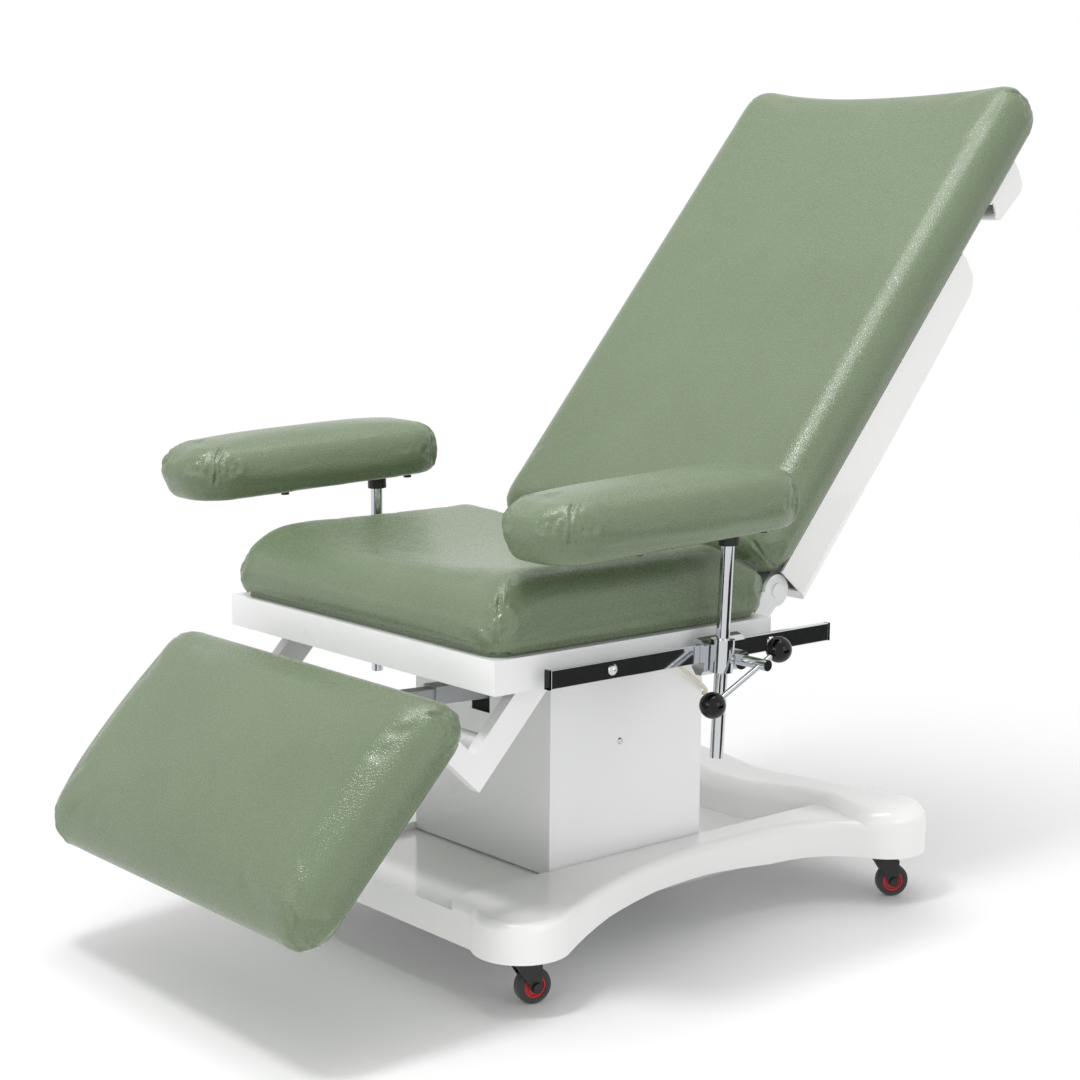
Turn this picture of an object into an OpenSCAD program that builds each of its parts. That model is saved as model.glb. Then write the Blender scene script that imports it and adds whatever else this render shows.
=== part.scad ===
/* [Seat] */
// Width of the seat frame
seat_w = 600; // [560:1:660]
// Length of the seat frame
seat_l = 486; // [470:1:520]
// Depth of the folded apron round the seat frame
seat_frame_h = 44; // [40:0.5:52]
// Height of the seat frame's top edge with the lift down
seat_top = 474; // [466:1:500]
// How far the seat frame's middle stands in front of the origin
seat_forward = 155; // [150:1:160]
// Thickness of the frame's folded steel
frame_wall = 2.5; // [2:0.1:4]
// Width of the frame's inward flanges
frame_flange = 26; // [20:1:30]
// Thickness of the upholstery boards
board_t = 12; // [8:0.5:16]
// Height of the seat cushion above its seam on the frame
seat_cushion_h = 88; // [70:1:100]
// Depth of the hollow across the seat
seat_dish = 20; // [0:1:30]

/* [Backrest] */
// Lean of the back from upright, as it stands
recline = 40; // [35:1:50]
// Distance of the back pivot behind the origin
back_pivot_y = 135; // [130:0.5:145]
// Height of the back pivot above the seat frame's top edge
back_pivot_rise = 26; // [24:0.5:34]
// How much narrower the back cushion is than the seat
back_narrower = 31; // [24:1:60]
// Length of the back cushion
back_l = 863; // [780:1:900]
// Thickness of the back cushion
back_cushion_t = 69; // [55:1:75]
// Depth of the moulded tray behind the back
tray_depth = 56; // [48:1:64]
// Gap between the moulded tray and the push handle
tray_gap = 87; // [70:1:110]
// Wall of the moulded tray and the push handle
tray_wall = 4; // [3:0.5:6]
// Length of the push handle's lip along the back
handle_l = 86; // [76:1:96]
// Depth of the push handle's lip
handle_depth = 38; // [34:1:46]

/* [Leg rest] */
// Slope of the leg rest below level, as it stands
leg_slope = 46.7; // [44:0.1:50]
// Width of the leg cushion
leg_w = 614; // [560:1:640]
// Length of the leg cushion
leg_l = 326; // [280:1:350]
// Thickness of the leg cushion
leg_cushion_t = 61; // [50:1:70]
// Distance from the leg pivot to the cushion's near end
leg_reach = 142; // [140:0.5:150]
// Distance of each leg arm's middle in from the seat frame's side
leg_arm_in = 50; // [48:1:60]
// Depth of a leg arm
leg_arm_h = 40; // [34:0.5:44]
// Thickness of a leg arm
leg_arm_t = 18; // [14:0.5:22]

/* [Arm rests] */
// Length of an arm pad
pad_l = 408; // [360:1:440]
// Width of an arm pad
pad_w = 141; // [120:1:156]
// Height of an arm pad
pad_h = 74; // [60:1:84]
// Diameter of an arm post
post_d = 18; // [16:0.2:22]
// Height of the left pad's underside at its post
pad_rise = 612; // [600:1:640]
// Length of an arm post below its pad
post_l = 300; // [280:1:310]
// Diameter of a ball knob
knob_d = 35; // [30:0.5:40]
// Diameter of a tommy bar
bar_d = 8; // [6:0.2:10]
// Width of a side rail
rail_h = 25; // [24:0.2:30]
// Thickness of a side rail
rail_t = 10; // [8:0.2:12]
// Length of a side rail
rail_l = 512; // [490:1:540]

/* [Column and lift] */
// Width of the column cover
column_w = 303; // [290:1:320]
// Length of the column cover
column_l = 286; // [270:1:300]
// Distance of the column's middle in front of the origin
column_forward = 38; // [34:0.5:42]
// Thickness of the covers' sheet
sheet_t = 1.5; // [1:0.1:2.5]
// Diameter of the fixed guide tubes
guide_d = 50; // [46:0.5:56]
// Diameter of the sliding guide tubes
slider_d = 42; // [38:0.5:44]

/* [Base] */
// Distance between the casters' swivel axes across the base
caster_track = 500; // [480:1:520]
// Distance between the casters' swivel axes along the base
wheelbase = 708; // [690:1:730]
// Distance of the base's middle behind the origin
base_back = 42; // [38:0.5:46]
// Radius of the four corner lobes
lobe_r = 65; // [60:0.5:70]
// Half width of the base at its waist
waist = 200; // [194:0.5:208]
// Radius of the long curve along each side
side_r = 817; // [760:1:900]
// Radius of the short curve into each rear lobe
tail_r = 130; // [115:1:145]
// Height of the cover's lower edge
skirt_z = 76; // [76:0.5:80]
// Height of the front deck
deck_z = 119; // [116:0.5:122]
// Height of the side beams
beam_z = 130; // [127:0.5:136]
// Height of the rear hump
hump_z = 148; // [144:0.5:154]
// Radius of the cover's upper edges
edge_r = 12; // [8:0.5:14]
// Wall of the moulded base cover
cover_wall = 4; // [3:0.5:5]

/* [Casters] */
// Diameter of a caster wheel
wheel_d = 49; // [46:0.5:51]
// Width of a caster wheel
wheel_w = 19; // [16:0.5:22]
// Distance from the swivel axis to the wheel's axle
trail = 17; // [14:0.5:20]
// Overall height of a caster
caster_h = 75; // [75:0.5:76]

/* [Hidden] */
$fn = 64;

// One overrun for every cut
over = 1;
// Radial clearance of a running fit
fit = 0.05;
// Gap between pieces that only pass each other
gap = 0.3;

// Colours
gloss_white = "#f2f2f0";
vinyl_green = "#76886b";
chrome = "#b9bcc0";
steel_grey = "#a9adb0";
black = "#16171a";
wheel_red = "#b8232b";
cable_cream = "#d9d6c4";

// Base
lobe_x = caster_track / 2;
front_y = base_back - wheelbase / 2;
rear_y = base_back + wheelbase / 2;
skirt_inset = 11;
skirt_front_y = front_y - lobe_r + skirt_inset;
skirt_rear_y = rear_y + lobe_r - skirt_inset;
valley_r = 14;
skirt_arch = 12;
beam_gap = 2.5;
beam_inner = column_w / 2 + beam_gap;
deck_mouth_r = 35;
deck_mouth_out = 22;
deck_mouth_y = front_y - deck_mouth_out;

hump_core_r = 56;
hump_core_x = 30;
hump_core_back = 40;
hump_front_y = rear_y - hump_core_back - hump_core_r;
hump_flare_x = 105;
hump_flare_back = 14;
hump_flare_r = 48;
hump_bar_x = 170;
hump_bar_r = 42;
hump_round = 26;
hump_top_inset = 22;
hollow_step = 2;
lobe_wall = 8;
opening_margin = 12;

// Chassis
chassis_bar_w = 30;
chassis_bar_t = 12;
chassis_rail_x = 172;
chassis_pad_r = 34;
chassis_pad_t = 5;
chassis_end = 30;
chassis_z = caster_h;
chassis_top = chassis_z + chassis_bar_t;
foot_plate_t = 6;
foot_z = chassis_top + foot_plate_t;
foot_w = 243;
foot_l = 218;

well_z = chassis_top + gap + cover_wall;

// Column
column_y = -column_forward;
column_front = column_y - column_l / 2;
column_rear = column_y + column_l / 2;
deck_gap = 2;
column_foot = deck_z + deck_gap;
frame_z = seat_top - seat_frame_h;
actuator_slot_w = 40;
actuator_slot_low = 326;
actuator_slot_high = 420;
shroud_gap = 2;
shroud_top = 318;
shroud_flange = 26;
guide_x = 92;
guide_top = 322;
slider_wall = 3;
slider_lift = 28;
slider_low = foot_z + slider_lift;
slider_cap_t = 10;
slider_cap_w = 15;
guide_foot_t = 8;
guide_foot_w = 12;
lift_back = 98;
lift_y = column_y + lift_back;
lift_bore_foot = 20;
lift_rod_foot = 24;
lift_cap_t = 12;
motor_d = 64;
motor_h = 70;
lift_tube_d = 46;
lift_tube_top = 316;
lift_rod_d = 24;
lift_bore_d = lift_rod_d + 2 * fit;
head_t = 4;
head_margin = 12;

// Seat
seat_y = -seat_forward;
seat_front = seat_y - seat_l / 2;
seat_rear = seat_y + seat_l / 2;
board_inset = 9;
seat_seam = 2.5;
seat_corner = 30;
cross_w = 34;
cross_rear_y = 24;
cross_t = 3;
screw_head_d = 10;
screw_head_h = 3;
screw_drop_z = 182;
screw_forward = 15;
rail_bolt_d = 15;
rail_bolt_h = 5;
rod_pass_w = 36;
rod_pass_margin = 4;
slot_rear_margin = 30;
cross_in = 25;
cross_out = 5;
cross_l = seat_w / 2 - cross_in - cross_out;
bracket_foot = 60;
seat_margin = 2;
back_up = 15;
foot_clear = 1.5;
seat_shoulder = 34;
seat_crown = 6;
foot_draw = 6;
edge_shoulder = 26;

// Pivots
back_pivot_z = seat_top + back_pivot_rise;
pin_d = 14;
back_bracket_in = 38;
back_bracket_x = seat_w / 2 - back_bracket_in;
bracket_t = 6;
leg_pivot_forward = 127;
leg_pivot_drop = 28;
leg_pivot_y = seat_y - leg_pivot_forward;
leg_pivot_z = seat_top - leg_pivot_drop;
pin_washer = 1;
leg_bracket_l = 52;
leg_bracket_reach = 16;
pin_proud = 4;
pin_head_d = 20;
pin_head_t = 3;
back_arm_w = 24;
back_arm_in = 3;
back_arm_x = back_bracket_x - bracket_t / 2 - back_arm_in - back_arm_w / 2;
back_w = seat_w - back_narrower;
boss_r = 15;
hinge_r = 23;

// Leg linkage
leg_arm_x = seat_w / 2 - leg_arm_in;
leg_arm_end = 180;
leg_arm_heel = 12;
// How far the arm's middle lies below its pivot, so that the raised arm clears the frame's apron
leg_arm_low = 3.5;
leg_arm_top = leg_arm_h / 2 - leg_arm_low;
leg_cushion_n = 75;
leg_lug_u = 102;
leg_lug_n = -10;
leg_cross_u = 128;
leg_cross_d = 28;
lug_pin_d = 10;
lug_t = 6;
lug_gap = 24;
leg_rod_w = 22;
leg_rod_h = 18;
leg_tube_w = 30;
leg_tube_h = 25;
leg_tail_y = 10;
leg_tail_z = 352;
leg_tube_front = 75;
open_pivot_slack = 6.5;
tail_pin_d = 8;
tail_eye_d = 31;
clevis_t = 4;
clevis_gap = 1;
clevis_l = 32;
clevis_foot = 10;
leg_strap_t = 5;
leg_strap_w = 40;
leg_crown = 5;
leg_eye_r = 11;
strap_in = 8;
strap_short = 40;
leg_rod_short = 90;
leg_corner = 34;

// Back linkage
back_lug_r = 52;
back_lug_turn = 16.5;
back_tail_y = -165;
back_tail_z = 452;
back_rod_d = 16;
back_tube_d = 26;
back_eye_d = 29;
back_tube_rear = 62;
back_rod_short = 100;
back_rod_eye_d = 22;
back_tube_short = 10;
back_eye_in = 2;
tube_end = 40;
lever_gap = 18;
lever_z = 44;
lever_eye_r = 12;
back_bar_t = 22;
handle_drop = 98;
frame_short = 34;
tray_l = back_l - handle_drop - handle_l - tray_gap;
back_frame_l = tray_l - frame_short;
back_dip = 6;
back_crown = 4;
back_corner = 44;
tray_inset = 8;

// Rails and arms
rail_stand = 15;
rail_x = seat_w / 2 + rail_stand + rail_t / 2;
rail_drop = 28.4;
rail_back = 80;
rail_z = seat_top - rail_drop;
rail_y = seat_y + rail_back;
spacer_d = 18;
spacer_before = 151;
spacer_behind = 138;
spacer_front_y = rail_y - spacer_before;
spacer_rear_y = rail_y + spacer_behind;
cap_t = 3;
post_out = 20;
post_x = rail_x + post_out;
clamp_w = 76;
clamp_wall = 8;
clamp_lip = 5;
post_y = -46;
post_boss_r = 16;
post_bore_d = post_d + 2 * fit;
post_wall = 1.5;
screw_d = 15;
screw_out = 80;
screw_x_end = rail_x + screw_out;
screw_offset_y = 25;
screw_drop = 9.5;
bar_turn = 25.5;
bar_out = 68;
bar_x = rail_x + bar_out;
bar_front = 98;
bar_rear = 36;
plate_t = 4;
plate_l = 250;
plate_w = 56;
pad_front_share = 0.804;
pad_slope = 2.8;
post_lean = 2.6;
bolt_head_d = 12;
bolt_head_h = 5;
right_forward = 68;
right_lift = 12;
left_yaw = 1.4;
right_yaw = 1.5;
front_turn = 13;
rear_left_turn = 33;
rear_right_turn = 20;

// Each arm: side, post's place along the rail, lean, height gain and turn of the pad
function arm_shift(side) = side == "left" ? 0 : -right_forward;
function arm_lean(side) = side == "left" ? post_lean : 0;
function arm_lift(side) = side == "left" ? 0 : right_lift;
function arm_yaw(side) = side == "left" ? -left_yaw : right_yaw;

// Each caster: corner, side, place along the base and turn of the wheel
function caster_side(corner) = corner == "fl" || corner == "rl" ? 1 : -1;
function caster_y(corner) = corner == "fl" || corner == "fr" ? front_y : rear_y;
function caster_turn(corner) =
    corner == "fl" ? -front_turn :
    corner == "fr" ? front_turn :
    corner == "rl" ? -rear_left_turn : rear_right_turn;

half_turn = 180;
full_turn = 360;

// Points of an arc from one angle to another
function arc(centre, radius, from, to, steps) =
    [for (i = [0:steps]) let (a = from + (to - from) * i / steps) centre + radius * [cos(a), sin(a)]];

// Where two circles cross, on the left of the line from the first to the second
function circles_cross(c1, r1, c2, r2) =
    let (d = norm(c2 - c1), a = (r1 * r1 - r2 * r2 + d * d) / (2 * d), h = sqrt(r1 * r1 - a * a),
        u = (c2 - c1) / d)
    c1 + a * u + h * [-u[1], u[0]];

function angle_to(from, to) = atan2(to[1] - from[1], to[0] - from[0]);

// Outline of the base's right half from the middle of the front to the middle of the rear
front_lobe = [lobe_x, front_y];
rear_lobe = [lobe_x, rear_y];
side_centre = [waist + side_r, front_y + sqrt(pow(side_r + lobe_r, 2) - pow(waist + side_r - lobe_x, 2))];
tail_centre = circles_cross(side_centre, side_r - tail_r, rear_lobe, tail_r + lobe_r);
valley_rise = lobe_r - skirt_inset + valley_r;
valley_run = sqrt(pow(lobe_r + valley_r, 2) - pow(valley_rise, 2));
front_valley = [lobe_x - valley_run, front_y - valley_rise];
rear_valley = [lobe_x - valley_run, rear_y + valley_rise];

function base_half() = concat(
    arc(front_valley, valley_r, 90, angle_to(front_valley, front_lobe), 3),
    arc(front_lobe, lobe_r, angle_to(front_valley, front_lobe) + half_turn,
        angle_to(front_lobe, side_centre) + full_turn, 16),
    arc(side_centre, side_r, angle_to(front_lobe, side_centre) + half_turn,
        angle_to(side_centre, tail_centre), 16),
    arc(tail_centre, tail_r, angle_to(side_centre, tail_centre), angle_to(tail_centre, rear_lobe), 6),
    arc(rear_lobe, lobe_r, angle_to(tail_centre, rear_lobe) + half_turn,
        angle_to(rear_lobe, rear_valley) + full_turn, 16),
    arc(rear_valley, valley_r, angle_to(rear_lobe, rear_valley) + half_turn, 270, 3)
);

function mirrored(points) = [for (i = [len(points) - 1:-1:0]) [-points[i][0], points[i][1]]];
base_outline = let (half = base_half()) distinct(concat(half, mirrored(half)));

// The same outline without points that repeat
function distinct(points) =
    [for (i = [0:len(points) - 1]) if (norm(points[i] - points[(i + 1) % len(points)]) > gap) points[i]];

// The outline drawn in by a distance
function drawn_in(points, by) =
    let (n = len(points))
    [for (i = [0:n - 1]) let (t = points[(i + 1) % n] - points[(i + n - 1) % n])
        points[i] + by * [-t[1], t[0]] / norm(t)];

// Solid through a stack of rings with equal numbers of points, closed at the bottom and over a top point
module ring_stack(rings, top_point) {
    n = len(rings[0]);
    m = len(rings);
    faces = concat(
        [[for (j = [0:n - 1]) j]],
        [for (i = [0:m - 2]) for (j = [0:n - 1]) [i * n + j, (i + 1) * n + j, (i + 1) * n + (j + 1) % n]],
        [for (i = [0:m - 2]) for (j = [0:n - 1]) [i * n + j, (i + 1) * n + (j + 1) % n,
            i * n + (j + 1) % n]],
        [for (j = [0:n - 1]) [m * n, (m - 1) * n + (j + 1) % n, (m - 1) * n + j]]
    );
    polyhedron(points = concat([for (ring = rings) for (p = ring) p], [top_point]), faces = faces);
}

function at_height(points, z) = [for (p = points) [p[0], p[1], z]];

// Slab with a rounded upper edge
module rounded_slab(points, low, high, radius, steps) {
    n = len(points);
    rings = concat(
        [at_height(points, low)],
        [for (k = [0:steps]) let (a = 90 * k / steps)
            at_height(drawn_in(points, radius * (1 - cos(a))), high - radius + radius * sin(a))]
    );
    m = len(rings);
    faces = concat(
        [[for (j = [0:n - 1]) j]],
        [for (i = [0:m - 2]) for (j = [0:n - 1]) [i * n + j, (i + 1) * n + j, (i + 1) * n + (j + 1) % n]],
        [for (i = [0:m - 2]) for (j = [0:n - 1]) [i * n + j, (i + 1) * n + (j + 1) % n,
            i * n + (j + 1) % n]],
        [[for (j = [n - 1:-1:0]) (m - 1) * n + j]]
    );
    polyhedron(points = [for (ring = rings) for (p = ring) p], faces = faces);
}

// Box given by its middle across, its start along and its foot
module bar(width, length, height) translate([-width / 2, 0, 0]) cube([width, length, height]);

module rod_x(diameter, from, to) translate([from, 0, 0]) rotate([0, 90, 0])
    cylinder(d = diameter, h = to - from);

// Outline of the front deck between the beams, open to the front
function deck_outline() =
    let (mouth = [beam_inner + deck_mouth_r, deck_mouth_y], reach = skirt_front_y - lobe_r)
    let (right = concat(
        [[beam_inner + deck_mouth_r, reach]],
        arc(mouth, deck_mouth_r, 270, 180, 6),
        [[beam_inner, skirt_rear_y - lobe_r]]
    ))
    concat(right, mirrored(right));

module dome_disc(radius) {
    low = hump_z - hump_round;
    rotate_extrude($fn = 32) polygon(concat(
        [[0, skirt_z], [radius, skirt_z]],
        [for (k = [0:5]) let (a = 90 * k / 5) [radius - hump_top_inset * (1 - cos(a)),
            low + hump_round * sin(a)]],
        [[0, hump_z]]
    ));
}

// Discs along the hump, from its middle to a rear lobe: place across, place along and radius
hump_discs = [
    [0, rear_y - hump_core_back, hump_core_r], [hump_core_x, rear_y - hump_core_back, hump_core_r],
    [hump_flare_x, rear_y - hump_flare_back, hump_flare_r], [hump_bar_x, rear_y, hump_bar_r],
        [lobe_x, rear_y, lobe_r]
];

module rear_hump() {
    for (side = [-1, 1]) for (i = [0:len(hump_discs) - 2]) hull()
        for (disc = [hump_discs[i], hump_discs[i + 1]]) translate([side * disc[0], disc[1], 0])
            dome_disc(disc[2]);
}

module base_cover() {
    color(gloss_white) difference() {
        union() {
            difference() {
                union() {
                    rounded_slab(base_outline, skirt_z, deck_z, edge_r, 4);
                    difference() {
                        rounded_slab(base_outline, skirt_z, beam_z, edge_r, 4);
                        translate([0, 0, deck_z]) linear_extrude(beam_z) polygon(deck_outline());
                    }
                }
                translate([-beam_inner, column_rear, well_z])
                    cube([2 * beam_inner, rear_y - column_rear, beam_z]);
            }
            rear_hump();
        }
        base_hollow();
        column_opening();
        arch_cut();
        caster_wells();
    }
}

// Hollow under the moulded cover
module base_hollow() {
    inner = drawn_in(base_outline, cover_wall);
    deep = deck_z - cover_wall;
    translate([0, 0, skirt_z - over]) linear_extrude(well_z - cover_wall - skirt_z + over) polygon(inner);
    difference() {
        translate([0, 0, skirt_z]) linear_extrude(deep - edge_r / 2 - skirt_z)
            polygon(drawn_in(base_outline, cover_wall + hollow_step));
        translate([-beam_inner - cover_wall, column_rear - cover_wall, well_z - cover_wall])
            cube([2 * (beam_inner + cover_wall), hump_front_y + hump_core_r - column_rear + cover_wall,
                beam_z]);
        translate([-lobe_x, hump_front_y - over, well_z - cover_wall])
            cube([2 * lobe_x, rear_y - hump_front_y, beam_z]);
    }
}

module column_opening() {
    translate([-column_w / 2 + opening_margin, column_front + opening_margin, skirt_z])
        cube([column_w - 2 * opening_margin, column_l - 2 * opening_margin, beam_z]);
}

// Long low arch under each side of the skirt
module arch_cut() {
    from = front_y + lobe_r / 2;
    to = rear_y - lobe_r - tail_r;
    half = (to - from) / 2;
    arch_r = (half * half + skirt_arch * skirt_arch) / (2 * skirt_arch);
    translate([0, (from + to) / 2, skirt_z + skirt_arch - arch_r])
        rod_x_wide(arch_r);
}

module rod_x_wide(radius) translate([-caster_track, 0, 0]) rotate([0, 90, 0])
    cylinder(r = radius, h = 2 * caster_track, $fn = 128);

// Round wells that the caster plates stand in
module caster_wells() {
    for (x = [-lobe_x, lobe_x]) for (y = [front_y, rear_y])
        translate([x, y, skirt_z - over])
            cylinder(r = lobe_r - lobe_wall, h = chassis_top - skirt_z + 2 * over);
}

module base_chassis() {
    color(steel_grey) {
        for (side = [-1, 1])
            translate([side * chassis_rail_x, front_y, chassis_z])
                bar(chassis_bar_w, wheelbase, chassis_bar_t);
        for (y = [front_y, rear_y])
            translate([0, y - chassis_bar_w / 2, chassis_z])
                bar(caster_track + 2 * chassis_end, chassis_bar_w, chassis_bar_t);
        for (y = [column_y - foot_l / 2, column_y + foot_l / 2 - chassis_bar_w])
            translate([0, y, chassis_z]) bar(2 * chassis_rail_x, chassis_bar_w, chassis_bar_t);
        translate([0, column_y - foot_l / 2, chassis_top]) bar(foot_w, foot_l, foot_plate_t);
        for (x = [-lobe_x, lobe_x]) for (y = [front_y, rear_y])
            translate([x, y, chassis_z]) cylinder(r = chassis_pad_r, h = chassis_pad_t);
    }
}

module column_shroud() {
    inset = sheet_t + shroud_gap;
    w = column_w - 2 * inset;
    l = column_l - 2 * inset;
    foot = deck_z + gap;
    color(gloss_white) {
        difference() {
            translate([0, column_y - l / 2, foot]) bar(w, l, shroud_top - foot);
            translate([0, column_y - l / 2 + sheet_t, foot - over])
                bar(w - 2 * sheet_t, l - 2 * sheet_t, shroud_top);
        }
        for (side = [-1, 1]) translate([side * (w / 2 - shroud_flange / 2), column_y - foot_l / 2, foot])
            bar(shroud_flange, foot_l, sheet_t);
    }
}

module guide_tubes() {
    color(steel_grey) for (side = [-1, 1]) translate([side * guide_x, column_y, foot_z]) difference() {
        union() {
            cylinder(d = guide_d, h = guide_top - foot_z);
            cylinder(d = guide_d + 2 * guide_foot_w, h = guide_foot_t);
        }
        translate([0, 0, -over]) cylinder(d = slider_d + 2 * fit, h = guide_top);
    }
}

module lift_actuator() {
    color(black) translate([0, lift_y, foot_z]) difference() {
        union() {
            cylinder(d = motor_d, h = motor_h);
            cylinder(d = lift_tube_d, h = lift_tube_top - foot_z);
        }
        translate([0, 0, lift_bore_foot]) cylinder(d = lift_bore_d, h = lift_tube_top);
    }
}

module guide_sliders() {
    length = frame_z - slider_low;
    color(chrome) for (side = [-1, 1]) translate([side * guide_x, column_y, slider_low]) difference() {
        union() {
            cylinder(d = slider_d, h = length);
            translate([0, 0, length - slider_cap_t])
                cylinder(d = slider_d + 2 * slider_cap_w, h = slider_cap_t);
        }
        translate([0, 0, -over]) cylinder(d = slider_d - 2 * slider_wall, h = length - slider_cap_t);
    }
}

module lift_rod() {
    length = frame_z - foot_z - lift_rod_foot;
    color(chrome) translate([0, lift_y, foot_z + lift_rod_foot]) {
        cylinder(d = lift_rod_d, h = length);
        translate([0, 0, length - lift_cap_t]) cylinder(d = lift_tube_d, h = lift_cap_t);
    }
}

module column_cover() {
    h = frame_z - column_foot;
    color(gloss_white) difference() {
        translate([0, column_front, column_foot]) bar(column_w, column_l, h);
        translate([0, column_front + sheet_t, column_foot - over])
            bar(column_w - 2 * sheet_t, column_l - 2 * sheet_t, h + 2 * over);
        translate([0, column_front - over, actuator_slot_low])
            bar(actuator_slot_w, sheet_t + 2 * over, actuator_slot_high - actuator_slot_low);
    }
}

// Domed screw head whose foot is at the origin and whose head points along +Z
module domed_head(diameter, height) {
    ball_r = (diameter * diameter / 4 + height * height) / (2 * height);
    intersection() {
        cylinder(d = diameter, h = height);
        translate([0, 0, height - ball_r]) sphere(r = ball_r);
    }
}

module cover_screws() {
    color(chrome) for (side = [-1, 1]) {
        translate([side * column_w / 2, column_y - screw_forward, seat_top - screw_drop_z])
            rotate([0, side * 90, 0])
            domed_head(screw_head_d, screw_head_h);
        for (y = [spacer_front_y, spacer_rear_y]) translate([side * (rail_x + rail_t / 2), y, rail_z])
            rotate([0, side * 90, 0]) domed_head(rail_bolt_d, rail_bolt_h);
    }
}

module seat_frame() {
    color(gloss_white) difference() {
        union() {
            difference() {
                translate([0, seat_front, frame_z]) bar(seat_w, seat_l, seat_frame_h);
                translate([0, seat_front + frame_wall, frame_z + frame_wall])
                    bar(seat_w - 2 * frame_wall, seat_l - 2 * frame_wall, seat_frame_h - 2 * frame_wall);
                translate([0, seat_front + frame_flange, frame_z - over])
                    bar(seat_w - 2 * frame_flange, seat_l - 2 * frame_flange, seat_frame_h + 2 * over);
                // Pass for the back actuator's rod
                translate([0, seat_rear - frame_flange - over, frame_z + rod_pass_margin])
                    bar(rod_pass_w, frame_flange + 2 * over, seat_frame_h - 2 * rod_pass_margin);
            }
            // Cross channels and the plate over the column
            for (y = [column_front + head_margin, cross_rear_y])
                for (side = [-1, 1])
                    translate([side * (cross_in + cross_l / 2), y, frame_z + frame_wall])
                        bar(cross_l, cross_w, cross_t);
            difference() {
                translate([0, column_front + sheet_t + gap, frame_z])
                    bar(column_w - 2 * sheet_t - 2 * gap, column_l - 2 * sheet_t - 2 * gap, head_t);
                translate([0, seat_front, frame_z - over])
                    bar(actuator_slot_w, leg_tail_y + slot_rear_margin - seat_front, head_t + 2 * over);
            }
            back_brackets();
            leg_brackets();
            tail_clevis_back();
            tail_clevis_leg();
        }
        translate([0, back_pivot_y, back_pivot_z]) rod_x(pin_d, -seat_w, seat_w);
        translate([0, leg_pivot_y, leg_pivot_z])
            rod_x(pin_d, -seat_w / 2 + frame_wall + over, seat_w / 2 - frame_wall - over);
    }
}

module back_brackets() {
    for (side = [-1, 1]) translate([side * back_bracket_x - bracket_t / 2, 0, 0]) rotate([90, 0, 90])
        linear_extrude(bracket_t) {
            polygon([
                [seat_rear - bracket_foot, frame_z + frame_wall], [seat_rear, frame_z + frame_wall],
                [back_pivot_y + hinge_r, back_pivot_z], [back_pivot_y - hinge_r, back_pivot_z],
                [seat_rear - board_inset, seat_top - frame_wall],
                [seat_rear - bracket_foot, seat_top - frame_wall]
            ]);
            translate([back_pivot_y, back_pivot_z]) circle(r = hinge_r);
        }
}

module leg_brackets() {
    inner = leg_arm_x + leg_arm_t / 2 + pin_washer;
    for (side = [-1, 1]) translate([side * (inner + bracket_t / 2) - bracket_t / 2, 0, 0])
        rotate([90, 0, 90]) linear_extrude(bracket_t) polygon([
            [leg_pivot_y - leg_bracket_l / 2, leg_pivot_z], [leg_pivot_y - boss_r, frame_z],
            [leg_pivot_y + boss_r, frame_z], [leg_pivot_y + leg_bracket_l / 2, leg_pivot_z],
            [leg_pivot_y + leg_bracket_l / 2, seat_top], [leg_pivot_y - leg_bracket_l / 2, seat_top]
        ]);
    for (side = [-1, 1]) translate([side * (inner + leg_bracket_reach / 2),
        leg_pivot_y - leg_bracket_l / 2, seat_top - cross_t])
        bar(leg_bracket_reach, leg_bracket_l, cross_t);
}

// Clevis plates and pins that the actuators' tails swing on
module tail_clevis_back() {
    half = back_tube_d / 2 + clevis_gap;
    for (side = [-1, 1]) translate([side * (half + clevis_t / 2), back_tail_y - clevis_l / 2, frame_z])
        bar(clevis_t, clevis_l, back_tail_z + tail_pin_d - frame_z);
    translate([0, back_tail_y - clevis_l / 2, frame_z])
        bar(actuator_slot_w + 2 * clevis_foot, clevis_l, head_t - over);
    translate([0, back_tail_y, back_tail_z]) rod_x(tail_pin_d, -half - over, half + over);
}

module tail_clevis_leg() {
    half = leg_tube_w / 2 + clevis_gap;
    for (side = [-1, 1]) {
        translate([side * (half + clevis_t / 2), leg_tail_y - clevis_l / 2, leg_tail_z - tail_pin_d])
            bar(clevis_t, clevis_l, frame_z + head_t - leg_tail_z + tail_pin_d);
        translate([side * (half + clevis_foot / 2), leg_tail_y - clevis_l / 2, frame_z])
            bar(clevis_foot, clevis_l, head_t);
    }
    translate([0, leg_tail_y, leg_tail_z]) rod_x(tail_pin_d, -half - over, half + over);
}

// Stepped pin on the right of the middle: its shank from one place to another and a head beyond
module headed_pin(from, to) {
    rotate([0, 90, 0]) rotate_extrude() polygon([
        [0, from], [pin_d / 2, from], [pin_d / 2, to], [pin_head_d / 2, to],
            [pin_head_d / 2, to + pin_head_t], [0, to + pin_head_t]
    ]);
}

module pivot_pins() {
    color(chrome) for (side = [0, 1]) mirror([side, 0, 0]) {
        translate([0, back_pivot_y, back_pivot_z])
            headed_pin(back_arm_x - back_arm_w / 2 - pin_proud, back_bracket_x + bracket_t / 2);
        translate([0, leg_pivot_y, leg_pivot_z])
            headed_pin(leg_arm_x - leg_arm_t / 2 - pin_proud,
                leg_arm_x + leg_arm_t / 2 + pin_washer + bracket_t);
    }
}

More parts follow.
